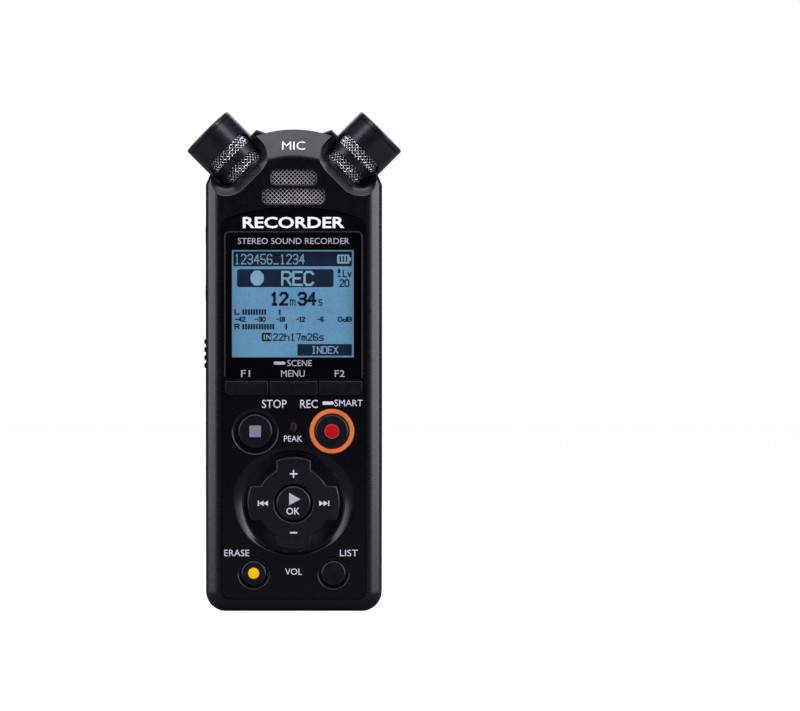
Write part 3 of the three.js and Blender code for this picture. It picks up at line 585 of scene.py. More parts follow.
def dense(loop, step=1.2):
    """The loop with points added along its longer edges."""
    points = []
    for a, b in zip(loop, loop[1:] + loop[:1]):
        count = max(1, round(math.dist(a, b) / step))
        points += [(a[0] + (b[0] - a[0]) * i / count, a[1] + (b[1] - a[1]) * i / count) for i in range(count)]
    return points


# How deep the scoop's wall is, how far in it is by then, and how far in on the brow's steeper side.
SCOOP_CURVE = [
    (-6.0, -0.3, -0.3), (-0.05, -0.3, -0.3), (0.0, -0.2, -0.2), (0.04, -0.08, -0.12),
    (0.12, 0.06, -0.06), (0.28, 0.28, 0.04), (0.54, 0.64, 0.2), (0.84, 1.04, 0.42),
    (1.2, 1.46, 0.7), (1.64, 1.84, 1.06), (2.3, 2.12, 1.5), (3.4, 2.3, 2.1),
    (4.6, 2.42, 2.4),
]


def left_scoop(follows_brow):
    """The bowl around a microphone. On its high side, its rim drops back with the brow's face."""
    outline = dense(rounded(-8.8, 6.95, 12.65, 34, (5.4, 4.8, 4.2, 4.2), 14))
    root = math.sqrt(2)
    rings = []
    for depth, eased, steep in SCOOP_CURVE:
        ring = []
        for at, low, high in zip(outline, inset(outline, eased), inset(outline, steep)):
            share = min(max((at[0] - 4.5) / 2, 0), 1)
            x, z = (a + (b - a) * share for a, b in zip(low, high))
            radius = math.hypot((x - z) / root, CROSSING + (x + z) / root - ARCH_Z)
            sink = min(brow_depth(radius), 3.2) if follows_brow and x > 0 else 0
            ring.append((x, FRONT + depth + sink, z))
        rings.append(ring)
    rings.append([(x, 0.2, z) for x, z in inset(outline, 2.46)])
    return on_left_axis(loft("scoop", rings))


def left_seat():
    r = BARREL_R
    profile = [
        (0, 11), (0.9, 11), (0.9, 13.3), (r + 0.1, 13.3), (r + 0.1, 15.2), (r + 0.45, 15.35),
        (r + 0.45, 40), (0, 40)
    ]
    return on_left_axis(lathe("seat", profile, "z", n=96))


def beyond(distance):
    return on_left_axis(box("slab", (-40, 40), (-20, 20), (distance, distance + 40)))


def left_ear():
    shape = clean([(-8.45, 108.35), (-12, 104.8), (-8, 102.5), (-5.9, 107.45)])
    return plate("ear", shape, -4, 4, edge=0.7, back_edge=0.7)


def screw_rods(r, a, b, n=24):
    return [rod(r, a, b, "y", (x, 0, z), n) for x, z in SCREWS]


def cavity(y_open, y_deep, deep):
    slope = math.copysign(1.6, y_deep - y_open)
    rings = [
        (inset(OUTLINE, WALL), y_open), (inset(OUTLINE, WALL), y_deep - slope),
        (inset(OUTLINE, deep), y_deep)
    ]
    hollow = stack("hollow", rings)
    return cut(hollow, *both(beyond(11.8)))


def side_block():
    return box("block", (16.8, 18.4), (-3.55, 2.2), (59, 89))


def side_openings():
    z = SLIDER_Z
    reach = SLIDER_HALF + SLIDER_TRAVEL + 0.15
    track = centred(0, z, 1.6, reach, 0.5)
    recess = rounded(-2.2, 2.2, z - reach - 0.7, z + reach + 0.7, 1.1)
    port = rounded(-3.55, 0.05, 61.3, 70.7, 1.5)
    bore = [(0, -HALF - 1), (2.75, -HALF - 1), (2.75, -HALF), (2.62, -HALF + 0.12), (2.62, -17.4), (0, -17.4)]
    mouth = ((-HALF - 1, -0.1), (-HALF, -0.1), (-HALF + 0.3, 0.25))
    door_bed = (DOOR["bottom"] - 0.1, DOOR["top"] + 0.1)
    return [lathe("jack_hole", bore, "x", (0, 0, at), 48) for at in JACKS.values()] + [
        side_stack("slider_track", [(track, -HALF - 1), (track, -17)]),
        side_stack("slider_recess", [(inset(recess, d), x) for x, d in mouth]),
        box("door_bed", (18.25, HALF + 1), (DOOR["front"] - 0.1, 1.45), door_bed),
        side_stack("port", [(port, 16), (port, HALF)]),
        box("card_slot", (16, HALF), (-3.5, -2.0), (74, 85.6)),
        rod(0.45, DOOR["bottom"] - 1, DOOR["top"] + 1, "z", (DOOR["x"], DOOR["y"], 0), 24),
    ]


SOFT_KEYS = {"f1": (-15.45, -5.75), "menu": (-5.35, 5.35), "f2": (5.75, 15.45)}
KEY_LOW, KEY_HIGH = 48.5, 51.75


def mic_slots():
    return [
        rounded(-5.1, 5.1, 95.75, 99.25, (1.0, 1.0, 1.3, 1.3)),
        rounded(-6.95, 6.95, 91.45, 95.0, (1.2, 1.2, 0.9, 0.9))
    ]


def panel_loop(play=0.0, n=12):
    x, r = PANEL_HALF + play, PANEL_CORNER
    lean = math.asin((PANEL_HALF - r) / PANEL_ARC)
    q = math.pi / 2
    top = 90.7 + play
    side_z = 87.4 + play
    arc_end = (x - r, top - PANEL_ARC * (1 - math.cos(lean)))

    def curve(a, b, c, m=10):
        return [
            tuple((1 - t) ** 2 * p + 2 * (1 - t) * t * o + t * t * e for p, o, e in zip(a, b, c))
            for t in (i / m for i in range(m + 1))
        ]

    right = curve((x, side_z - r), (x, side_z), arc_end)
    left = [(-px, pz) for px, pz in reversed(right)]
    low = 2.8 - play
    return clean(
        arc(x - r, low + r, r, -q, 0, n)
        + right
        + arc(0, top - PANEL_ARC, PANEL_ARC, q - lean, q + lean, 3 * n)
        + left
        + arc(-x + r, low + r, r, 2 * q, 3 * q, n)
    )


def front_shell():
    rings = rim(3.6, 3.4, FRONT, 1) + [(OUTLINE, -SEAM), (inset(OUTLINE, SEAM), 0)]
    form = stack("front_shell", rings)
    seat_cuts = both(left_seat()) + both(left_scoop(True)) + both(beyond(SEAT_TOP))
    keep(form, brow_keep())
    join(form, *both(keep(left_ear(), box("half", (-40, 0), (-6, 0), (90, 120)))))
    cut(form, *seat_cuts)
    hollow = cut(cavity(0.5, FRONT_WALL_BACK, 3.6), *screw_rods(2, FRONT_WALL_BACK - 0.5, -0.1), side_block())
    tools = [hollow, plate("pocket", panel_loop(0.08), FRONT - 1, PANEL_BACK)]
    tools.append(box("screen", (-14.06, 14.06), (FRONT, 0), (56.7, 81.5)))
    tools.append(plate("room", rounded(-7.8, 7.8, 90.9, 99.8, 1.5), FRONT + 0.6, 0))
    for loop in mic_slots():
        levels = [(-0.1, -1), (-0.1, 0), (0.0, 0.05), (0.1, 0.2), (0.1, 1)]
        tools.append(stack("slot", [(inset(loop, d), FRONT + y) for d, y in levels]))
    for x0, x1 in SOFT_KEYS.values():
        tools.append(box("stem", (x0 + 0.5, x1 - 0.5), (FRONT, 0), (KEY_LOW + 0.3, KEY_HIGH - 0.3)))
    for x, z, r in ((*STOP, 4.2), (*REC, 5.2), (*ERASE, 3.2), (*LIST, 3.2), (0, PAD_Z, 11.1)):
        tools.append(rod(r, FRONT - 1, 0, "y", (x, 0, z), 64))
    tools.append(plate("peak", rounded(-0.75, 0.75, 40.0, 42.6, 0.7), FRONT - 1, 0))
    cut(form, *tools, *screw_rods(0.9, FRONT_WALL_BACK + 0.5, 1, 16), *side_openings())
    return piece(form, ROOT, "case", "front_case", angle=20, name="front_shell")


def rear_shell():
    rings = [(inset(OUTLINE, SEAM), 0), (OUTLINE, SEAM)] + rim(4.2, 3.2, BACK, -1)[::-1]
    form = stack("rear_shell", rings)
    seat_cuts = both(left_seat()) + both(flip(left_scoop(False), 1)) + both(beyond(SEAT_TOP))
    join(form, *both(keep(left_ear(), box("half", (-40, 0), (0, 6), (90, 120)))))
    cut(form, *seat_cuts)
    half, hinge, hinge_z = COVER["half"], (0, COVER["y"], COVER["z"]), COVER["z"]
    bay_walls = box("bay_walls", (-6.8, 6.8), (0, BACK_WALL_FRONT + 0.5), (3.7, 54.2))
    boss = rod(6.3, 1.6, BACK, "y", (0, 0, TRIPOD_Z), 48)
    strap_block = box("strap_block", (-18.4, -15.2), (1.8, 7.4), (10, 19))
    solid = [bay_walls, boss, side_block(), strap_block, *screw_rods(2.2, 0.1, BACK)]
    tools = [
        cut(cavity(-0.5, BACK_WALL_FRONT, 3.4), *solid),
        box("bay", (-5.6, 5.6), (-1, BACK_WALL_FRONT + 0.5), (4.9, 53.0)),
        box("mouth", (-5.6, 5.6), (BACK_WALL_FRONT, BACK), (7.8, 53.0)),
    ]
    holes = [
        (x, z, 1, 1.85, BACK - 1.2, -1, 40)
        for x, z in SCREWS
    ] + [(0, TRIPOD_Z, 4.8, 5.5, BACK - 0.9, 0, 72)]
    for x, z, r, head, seat, start, n in holes:
        profile = [(0, start), (r, start), (r, seat), (head, seat), (head, BACK - 0.12), (head + 0.12, BACK)]
        profile += [(head + 0.12, BACK + 1), (0, BACK + 1)]
        tools.append(lathe("hole", profile, "y", (x, 0, z), n))
    for dz in (-3, -1.5, 0, 1.5, 3):
        loop = centred(0, SPEAKER_Z + dz, 5.4 - abs(dz) * 0.5, 0.4, 0.39)
        flared = inset(loop, -0.13)
        tools.append(
            stack("speaker_slot", [(loop, 6), (loop, BACK - 0.15), (flared, BACK), (flared, BACK + 1)])
        )
    lid_bed = rounded(-half - 0.1, half + 0.1, hinge_z, COVER["top"] + 0.1, (0.02, 0.02, 1.1, 1.1))
    hinge_room = (hinge_z - COVER["r"] - 0.1, hinge_z + 0.1)
    nail = [(0, BACK - 0.9), (2.6, BACK - 0.9), (3.2, BACK - 0.5), (3.3, BACK + 1), (0, BACK + 1)]
    notch = rounded(2.8, 6.4, 11.2, 17.8, 1.0)
    notch_depths = ((-HALF - 1, -0.2), (-HALF, -0.2), (-HALF + 0.3, 0), (-16.6, 0))
    tools += [
        plate("lid_bed", lid_bed, BACK - 1.35, BACK + 1),
        rod(COVER["r"] + 0.1, -half - 0.1, half + 0.1, "x", hinge, 48),
        box("hinge_room", (-half - 0.1, half + 0.1), (COVER["y"], BACK + 1), hinge_room),
        rod(0.5, -half - 0.9, half + 0.9, "x", hinge, 20),
        lathe("nail_hollow", nail, "y", (0, 0, COVER["top"] + 0.6), 48),
        side_stack("strap_notch", [(inset(notch, d), x) for x, d in notch_depths]),
        rod(0.7, 10.4, 18.6, "z", (-18.6, 4.6, 0), 20),
    ]
    cut(form, *tools, *side_openings())
    return piece(form, ROOT, "case", "rear_case", angle=20, name="rear_shell")


front_shell()
rear_shell()


# ---- front panel, lens and display


def dish(outer, floor, depth, at):
    """A hollow with a crisp rim round a key, as a cutting tool."""
    profile = [(0, PANEL_FRONT - 1), (outer + 0.1, PANEL_FRONT - 1), (outer + 0.1, PANEL_FRONT - 0.02)]
    for i in range(7):
        a = math.pi / 2 * i / 6
        profile.append((outer - (outer - floor) * (1 - math.cos(a)), PANEL_FRONT + depth * math.sin(a)))
    profile.append((0, PANEL_FRONT + depth))
    return lathe("dish", profile, "y", (at[0], 0, at[1]), 72)


def pad_dish():
    """The rolled hollow round the direction pad: widest at its sides, and gone at its foot."""
    rings = []
    for i in range(-1, 8):
        t = min(max(i, 0), 7) / 7
        wide, high, foot = 14.0 - 2.7 * t, 12.6 - 1.3 * t, 11.6 - 0.3 * t
        y = PANEL_FRONT - (0.5 if i < 0 else 0.0) + 0.95 * t**1.4
        ring = []
        for k in range(96):
            a = 2 * math.pi * k / 96
            ring.append((wide * math.cos(a), y, PAD_Z + (high if math.sin(a) > 0 else foot) * math.sin(a)))
        rings.append(ring)
    return loft("pad_dish", rings)


def control_panel():
    panel = plate("panel_plate", panel_loop(), PANEL_FRONT, PANEL_BACK, edge=0.15)
    tools = [plate("tool", rounded(-15.6, 15.6, KEY_LOW - 0.15, 85.3, (1.3, 1.3, 1.2, 1.2)), FRONT - 1, 0)]
    tools.append(plate("tool", rounded(-0.7, 0.7, 40.05, 42.55, 0.65), FRONT - 1, 0))
    tools += [
        dish(5.36, 4.3, 0.4, STOP), pad_dish(), dish(3.75, 3.05, 0.32, ERASE), dish(3.75, 3.05, 0.32, LIST)
    ]
    for x, z, r in ((*STOP, 4.05), (*REC, 5.15), (*ERASE, 3.0), (*LIST, 3.0), (0, PAD_Z, 11.5)):
        tools.append(rod(r, FRONT - 1, 0, "y", (x, 0, z), 72))
    cut(panel, *tools)
    piece(panel, ROOT, "face", "control_panel")
    lip = lathe(
        "pad_well_lip",
        [
            (11.06, PANEL_FRONT + 0.82), (11.2, PANEL_FRONT + 0.66), (11.42, PANEL_FRONT + 0.72),
            (11.42, PANEL_BACK + 0.5), (11.06, PANEL_BACK + 0.5), (11.06, PANEL_FRONT + 0.82)
        ],
        "y", (0, 0, PAD_Z), 96
    )
    piece(lip, ROOT, "case")


def display():
    outer = rounded(-15.4, 15.4, 52.1, 85.2, (0.4, 0.4, 1.2, 1.2), 10)
    window = rounded(-13.84, 13.5, 57.06, 81.14, 0.12)
    mask = plate("lens_mask", outer, LENS_FRONT, LENS_BACK, edge=0.15)
    cut(mask, plate("tool", window, FRONT - 1, 0))
    piece(mask, ROOT, "lens", "display_lens")
    pane = plate("lens_pane", inset(window, 0.02), LENS_FRONT + 0.02, LENS_FRONT + 0.5)
    piece(pane, ROOT, "pane")
    # A thin lighter strip round the lens's top and sides: a painted highlight on the lens edge. Its bottom is
    # cut away, where no highlight shows.
    edge_highlight = plate(
        "lens_edge_highlight_strip", rounded(-15.55, 15.55, 52.0, 85.34, (0.4, 0.4, 1.28, 1.28), 10), PANEL_FRONT - 0.02,
        PANEL_FRONT + 0.4
    )
    cut(
        edge_highlight, plate("tool", inset(outer, -0.04), FRONT - 1, 0),
        box("low", (-20, 20), (-20, 0), (50, 52.9))
    )
    piece(edge_highlight, ROOT, "lip")
    ground = plate("lcd_glass", rounded(-13.95, 13.95, 56.8, 81.4, 0.1), LCD_Y, FRONT_WALL_BACK)
    piece(ground, ROOT, "lcd")


LCD_Y = LENS_BACK + 0.04
LCD = (-13.8, 13.46, 57.1, 81.1)


def lcd_x(u):
    return LCD[0] + u * (LCD[1] - LCD[0])


def lcd_z(v):
    return LCD[3] - v * (LCD[3] - LCD[2])


def text_object(string, x, z, width, height, y, thick=0.03, bold=0.0):
    """Letters facing the front, scaled so that their box has that size round (x, z)."""
    curve = bpy.data.curves.new("letters", "FONT")
    curve.body = string
    curve.resolution_u = 3
    curve.offset = bold
    made = placed("letters", curve)
    bpy.context.view_layer.update()
    mesh = bpy.data.meshes.new_from_object(made.evaluated_get(bpy.context.evaluated_depsgraph_get()))
    bpy.data.objects.remove(made)
    bpy.data.curves.remove(curve)
    bm = bmesh.new()
    bm.from_mesh(mesh)
    bpy.data.meshes.remove(mesh)
    bmesh.ops.remove_doubles(bm, verts=bm.verts, dist=1e-5)
    xs = [v.co.x for v in bm.verts]
    ys = [v.co.y for v in bm.verts]
    sx, sz = width / (max(xs) - min(xs)), height / (max(ys) - min(ys))
    mx, my = (max(xs) + min(xs)) / 2, (max(ys) + min(ys)) / 2
    for v in bm.verts:
        v.co = Vector((x + (v.co.x - mx) * sx, y - thick, z + (v.co.y - my) * sz))
    new = bmesh.ops.extrude_face_region(bm, geom=bm.faces[:])
    for v in [g for g in new["geom"] if isinstance(g, bmesh.types.BMVert)]:
        v.co.y += thick + 0.02
    bmesh.ops.recalc_face_normals(bm, faces=bm.faces)
    return object_from(bm, "letters")


STROKES = {
    "0": "01 05 16 36 45 41 30 10 01",
    "1": "15 26 20,10 30",
    "2": "05 16 36 45 44 00 40",
    "3": "05 16 36 45 44 33 42 41 30 10 01,13 33",
    "4": "30 36 02 42",
    "5": "46 06 03 33 42 41 30 10 01",
    "6": "45 36 16 05 01 10 30 41 42 33 03",
    "7": "06 46 20",
    "8": "13 04 05 16 36 45 44 33 13 02 01 10 30 41 42 33",
    "R": "00 06 36 45 44 33 03,23 40",
    "E": "46 06 00 40,03 33",
    "C": "45 36 16 05 01 10 30 41",
    "L": "06 00 40",
    "v": "04 20 44",
    "m": "00 04 14 23 20,23 34 43 40",
    "s": "44 14 03 12 32 41 30 00",
    "h": "06 00,03 14 34 43 40",
    "I": "20 26,10 30,16 36",
    "|": "20 26",
    "N": "00 06 40 46",
    "D": "00 06 36 45 41 30 00",
    "X": "00 46,06 40",
    "d": "46 40,41 30 10 01 02 13 33 42",
    "B": "00 06 36 45 44 33 03,33 42 41 30 00",
    "-": "03 43",
    "_": "00 40",
}


def strokes(string, x0, x1, z0, z1, y, line, gap=1.6):
    """Display characters drawn as square-ended strokes on a 4 by 6 grid."""
    cell = (x1 - x0 - line) / (len(string) * 4 + (len(string) - 1) * gap)
    rise = (z1 - z0 - line) / 6
    parts = []
    for i, letter in enumerate(string):
        left = x0 + line / 2 + i * (4 + gap) * cell
        for run in STROKES[letter].split(","):
            at = [Vector((left + int(p[0]) * cell, z0 + line / 2 + int(p[1]) * rise)) for p in run.split()]
            for a, b in zip(at, at[1:]):
                along = (b - a).normalized() * line / 2
                side = Vector((-along.y, along.x))
                a, b = a - along * 0.8, b + along * 0.8
                parts.append(flat([tuple(a - side), tuple(b - side), tuple(b + side), tuple(a + side)], y))
    return parts


def merged(name, parts):
    """Several loose bodies as one mesh."""
    bm = bmesh.new()
    for part in parts:
        bm.from_mesh(part.data)
        mesh = part.data
        bpy.data.objects.remove(part)
        bpy.data.meshes.remove(mesh)
    return object_from(bm, name)


def flat(loop, y, thick=0.03):
    return plate("mark", clean(loop), y - thick, y + 0.02)


def lcd_content():
    y = LCD_Y - 0.005
    dark, pale = [], []

    def bar(u0, u1, v0, v1, group, r=0.08, lift=0.0):
        group.append(flat(rounded(lcd_x(u0), lcd_x(u1), lcd_z(v1), lcd_z(v0), r, 3), y - lift))

    def words(s, u0, u1, v0, v1, group, lift=0.0, line=0.2, gap=1.6):
        group += strokes(s, lcd_x(u0), lcd_x(u1), lcd_z(v1), lcd_z(v0), y - lift, line, gap)

    bar(0.01, 0.986, 0.012, 0.15, dark, 0.25)
    words("123456_1234", 0.018, 0.597, 0.035, 0.132, pale, 0.03, 0.22)
    bar(0.864, 0.965, 0.04, 0.125, pale, 0.3, 0.03)
    bar(0.965, 0.978, 0.065, 0.1, pale, 0.04, 0.03)
    for k in range(3):
        bar(0.884 + 0.025 * k, 0.897 + 0.025 * k, 0.055, 0.11, dark, 0.05, 0.05)
    dark.append(flat(rounded(lcd_x(0.04), lcd_x(0.835), lcd_z(0.345), lcd_z(0.177), 0.55), y))
    cx, cz = lcd_x(0.205), lcd_z(0.26)
    eighths = [math.pi / 8 + k * math.pi / 4 for k in range(8)]
    pale.append(flat([(cx + 1.6 * math.cos(a), cz + 1.8 * math.sin(a)) for a in eighths], y - 0.03))
    words("REC", 0.403, 0.675, 0.193, 0.334, pale, 0.03, 0.5, 1.3)
    mic = (lcd_x(0.88), lcd_z(0.21))
    for x, low, high, r in ((0.33, -0.15, 0.85, 0.32), (0.09, -0.85, -0.3, 0.05), (0.42, -0.95, -0.72, 0.05)):
        dark.append(flat(rounded(mic[0] - x, mic[0] + x, mic[1] + low, mic[1] + high, r, 3), y))
    words("Lv", 0.91, 0.985, 0.18, 0.253, dark, line=0.27)
    words("20", 0.882, 0.965, 0.27, 0.345, dark, line=0.28)
    words("12", 0.309, 0.464, 0.389, 0.52, dark, line=0.6, gap=1.5)
    words("m", 0.476, 0.521, 0.43, 0.52, dark, line=0.21)
    words("34", 0.537, 0.695, 0.389, 0.52, dark, line=0.6, gap=1.5)
    words("s", 0.708, 0.745, 0.43, 0.52, dark, line=0.25)
    words("L", 0.018, 0.062, 0.552, 0.604, dark, line=0.3)
    words("R", 0.018, 0.062, 0.688, 0.74, dark, line=0.28)
    for row, count, peak in (((0.552, 0.604), 9, 0.384), ((0.69, 0.74), 12, 0.438)):
        for k in range(count):
            bar(0.083 + 0.0225 * k, 0.0992 + 0.0225 * k, *row, dark, 0.03)
        bar(peak, peak + 0.015, *row, dark, 0.03)
    scale = (
        ("-42", 0.02, 0.11), ("-30", 0.184, 0.276), ("-18", 0.363, 0.435), ("-12", 0.525, 0.6),
        ("-6", 0.7, 0.756), ("0dB", 0.87, 0.986)
    )
    for s, u0, u1 in scale:
        words(s, u0, u1, 0.621, 0.67, dark, line=0.26, gap=1.4)
    bar(0.242, 0.326, 0.772, 0.852, dark, 0.35)
    words("|N", 0.244, 0.32, 0.788, 0.837, pale, 0.03, 0.24, 0.4)
    words("22h17m26s", 0.334, 0.756, 0.777, 0.848, dark, line=0.26)
    bar(0.537, 0.986, 0.878, 0.987, dark, 0.2)
    words("INDEX", 0.652, 0.873, 0.897, 0.968, pale, 0.03, 0.22)
    piece(merged("lcd_dark_segments", dark), ROOT, "lcd_dark", thin_out=False)
    piece(merged("lcd_pale_segments", pale), ROOT, "lcd_pale", thin_out=False)


control_panel()
display()
lcd_content()


# ---- keys


def soft_key(name, x0, x1):
    corners = (1.1 if name == "f1" else 0.25, 1.1 if name == "f2" else 0.25, 0.2, 0.2)
    y0 = PANEL_FRONT - 0.25

    def ring(d):
        return rounded(x0 + d, x1 - d, KEY_LOW + d, KEY_HIGH - d, [max(c - d, 0.03) for c in corners])

    levels = [
        (ring(0.62), y0 + 0.1), (ring(0.3), y0), (ring(0.14), y0 + 0.03), (ring(0.03), y0 + 0.14),
        (ring(0), y0 + 0.3), (ring(0), PANEL_BACK - 0.5)
    ]
    cap = stack(name + "_key_cap", levels)
    mid = (x0 + x1) / 2
    nib = lathe(
        "nib", [(0, y0 - 0.02), (0.2, y0 - 0.02), (0.34, y0 + 0.1), (0.34, y0 + 0.4), (0, y0 + 0.4)], "y",
        (mid, 0, KEY_HIGH - 0.55), 24
    )
    stem = box("stem", (x0 + 0.8, x1 - 0.8), (PANEL_BACK - 0.6, STEM_END), (KEY_LOW + 0.5, KEY_HIGH - 0.5))
    join(cap, stem, nib)
    piece(cap, name + "_key", "key", name + "_button")


def round_key(node_name, body, radius, at, hollow=0.12, proud=0.35, look="key"):
    """A round key with a soft shoulder and a slightly hollow top."""
    y0 = PANEL_FRONT - proud
    profile = [(0, y0 + hollow)]
    for i in range(1, 7):
        t = i / 6
        profile.append(((radius - 0.5) * t, y0 + hollow * (1 - t * t)))
    for i in range(1, 6):
        a = math.pi / 2 * i / 5
        profile.append((radius - 0.5 + 0.5 * math.sin(a), y0 + 0.5 * (1 - math.cos(a))))
    profile += [(radius, STEM_END), (0, STEM_END)]
    key = lathe(body + "_cap", profile, "y", (at[0], 0, at[1]), 72)
    piece(key, body, look, node_name)
    return y0 + hollow


for name, (x0, x1) in SOFT_KEYS.items():
    soft_key(name, x0, x1)
tops = {
    "stop": round_key("stop_button", "stop_key", 3.88, STOP),
    "record": round_key("record_button", "record_key", 3.8, REC),
    "erase": round_key("erase_button", "erase_key", 2.84, ERASE, proud=0.3),
    "list": round_key("list_button", "list_key", 2.84, LIST, proud=0.3),
    "ok": round_key("ok_button", "ok_key", 3.9, (0, PAD_Z), proud=0.45, look="pad"),
}

ring_profile = [
    (3.98, PANEL_FRONT + 0.05), (4.06, PANEL_FRONT - 0.12), (4.25, PANEL_FRONT - 0.2),
    (4.75, PANEL_FRONT - 0.2), (4.94, PANEL_FRONT - 0.12), (5.02, PANEL_FRONT + 0.05), (5.02, -6.0),
    (3.98, -6.0), (3.98, PANEL_FRONT + 0.05)
]
piece(
    lathe("record_ring", ring_profile, "y", (REC[0], 0, REC[1]), 96), ROOT, "ring", "record_light_ring",
)
piece(
    plate("peak_lens", rounded(-0.6, 0.6, 40.15, 42.45, 0.58), PANEL_FRONT - 0.05, -5.4, edge=0.15), ROOT,
    "pipe_off", "peak_light_pipe"
)


def pad_loop(play=0.0, n=10):
    disc, arm, half = 8.3 + play, 10.4 + play, 3.9 + play
    tip, root = math.asin(half / arm), math.asin(half / disc)
    points = []
    for q in range(4):
        facing = q * math.pi / 2
        points += arc(0, 0, arm, facing - tip, facing + tip, n)
        points += arc(0, 0, disc, facing + root, facing + math.pi / 2 - root, n)
    return clean(points)


def direction_pad():
    y0 = PANEL_FRONT - 0.2
    loop = [(x, z + PAD_Z) for x, z in pad_loop()]
    pad, arms = [plate(name, loop, y0, PANEL_FRONT + 1.3, edge=0.34, steps=5) for name in ("pad_top", "arms")]
    hollow = [
        (0, y0 - 1), (4.75, y0 - 1), (4.75, y0 - 0.02), (4.5, y0 + 0.06), (4.34, y0 + 0.22),
        (4.3, y0 + 0.4), (4.3, 0), (0, 0)
    ]
    keep(pad, rod(8.6, -12, 0, "y", (0, 0, PAD_Z), 120))
    cut(arms, rod(8.5, -12, 0, "y", (0, 0, PAD_Z), 120))
    for v in arms.data.vertices:
        if v.co.y < y0 + 0.5:
            v.co.y += 0.14 * max(math.hypot(v.co.x, v.co.z - PAD_Z) - 8.6, 0)
    join(pad, arms)
    cut(pad, lathe("tool", hollow, "y", (0, 0, PAD_Z), 72))
    piece(pad, "pad", "pad", "direction_pad")
    marks = [flat(centred(0, 17.7, 0.82, 0.17, 0.08, 2), y0)]
    for w, h in ((0.88, 0.155), (0.155, 0.88)):
        marks.append(flat(centred(0, 30.9, w, h, 0.08, 2), y0 - (0.002 if w > h else 0)))
    for side in (-1, 1):
        z = PAD_Z
        for k in (0, 1):
            x = side * (5.75 + 0.98 * k)
            marks.append(flat([(x, z - 0.62), (x + side * 0.98, z), (x, z + 0.62)], y0))
        a = side * 7.75
        marks.append(
            flat(rounded(min(a, a + side * 0.28), max(a, a + side * 0.28), z - 0.62, z + 0.62, 0.03, 2), y0)
        )
    piece(merged("pad_marks", marks), "pad", "print_white", thin_out=False)


direction_pad()
low, high = mm_box("direction_pad_actuator")
actuator = lathe(
    "actuator_ring",
    [(4.6, low[1]), (7.0, low[1]), (7.2, low[1] + 0.2), (7.2, high[1]), (4.6, high[1]), (4.6, low[1])], "y",
    (0, 0, PAD_Z), 64
)
piece(actuator, "pad_actuator", "rubber", "direction_pad_actuator")


# ---- legends


def words(string, x, z, width, height, y=PANEL_FRONT, bold=0.0):
    return text_object(string, x, z, width, height, y, bold=bold)


def legends():
    y = LENS_FRONT
    on_lens = [
        words("F1", -10.78, 53.42, 2.0, 1.5, y),
        words("MENU", -0.15, 53.42, 5.3, 1.5, y),
        words("F2", 10.35, 53.42, 2.2, 1.5, y),
        words("SCENE", 1.35, 55.75, 5.5, 1.35, y),
        flat(rounded(-4.45, -1.85, 55.4, 56.1, 0.33, 5), y),
        words("STEREO SOUND RECORDER", 0, 83.15, 25.0, 1.35, y),
    ]
    piece(merged("lens_legends", on_lens), ROOT, "print_dim", thin_out=False)
    y = PANEL_FRONT
    low = [
        words("STOP", -4.32, 46.6, 5.5, 1.85),
        words("REC", 3.46, 46.6, 3.95, 1.85),
        words("SMART", 12.35, 46.8, 6.3, 1.45),
        flat(rounded(6.47, 9.0, 46.4, 47.15, 0.35, 5), y),
        words("PEAK", -0.13, 38.8, 4.1, 1.3),
        words("ERASE", -12.75, 13.15, 5.6, 1.45),
        words("LIST", 12.4, 13.15, 4.0, 1.45),
        words("VOL", 0, 8.97, 3.76, 1.45),
    ]
    piece(merged("panel_legends", low), ROOT, "print_white", thin_out=False)
    title = words("RECORDER", 0, 87.3, 22.8, 2.55, y, bold=0.02)
    piece(title, ROOT, "title", name="plain_title", thin_out=False)
    mark = words("MIC", 0, 104.6, 5.2, 1.9, 0)
    for v in mark.data.vertices:
        v.co.y += FRONT + brow_depth(math.hypot(v.co.x, v.co.z - ARCH_Z))
    piece(mark, ROOT, "title", name="plain_mark", thin_out=False)
    stop = flat(centred(*STOP, 1.3, 1.3, 0.22, 4), tops["stop"] - 0.03, 0.05)
    piece(stop, "stop_key", "grey_print", name="stop_mark")
    for key, at, r, ink in (("record", REC, 1.55, "red"), ("erase", ERASE, 1.32, "yellow")):
        top, centre = tops[key], (at[0], 0, at[1])
        dome = [(0, top - 0.1), (r * 0.7, top - 0.09), (r, top - 0.02), (r, top + 0.1), (0, top + 0.1)]
        piece(lathe("dot", dome, "y", centre, 40), key + "_key", ink, name=key + "_mark")
        # A thin pale ring round each dot: a painted highlight where the dot's rim would catch the light.
        low = top - 0.03
        ring = lathe("outline", hoop(r, r + 0.1, low, low + 0.1), "y", centre, 48)
        piece(ring, key + "_key", "dim_" + ink, name=key + "_rim_highlight")
    t = tops["ok"] - 0.03
    play = flat([(-1.0, PAD_Z - 0.45), (1.55, PAD_Z + 0.95), (-1.0, PAD_Z + 2.35)], t, 0.05)
    ok = text_object("OK", -0.1, 22.55, 3.0, 1.6, t, 0.05, bold=0.01)
    piece(play, "ok_key", "mid_print", name="play_mark")
    piece(ok, "ok_key", "print_white", name="ok_marks", thin_out=False)


legends()


# ---- microphones


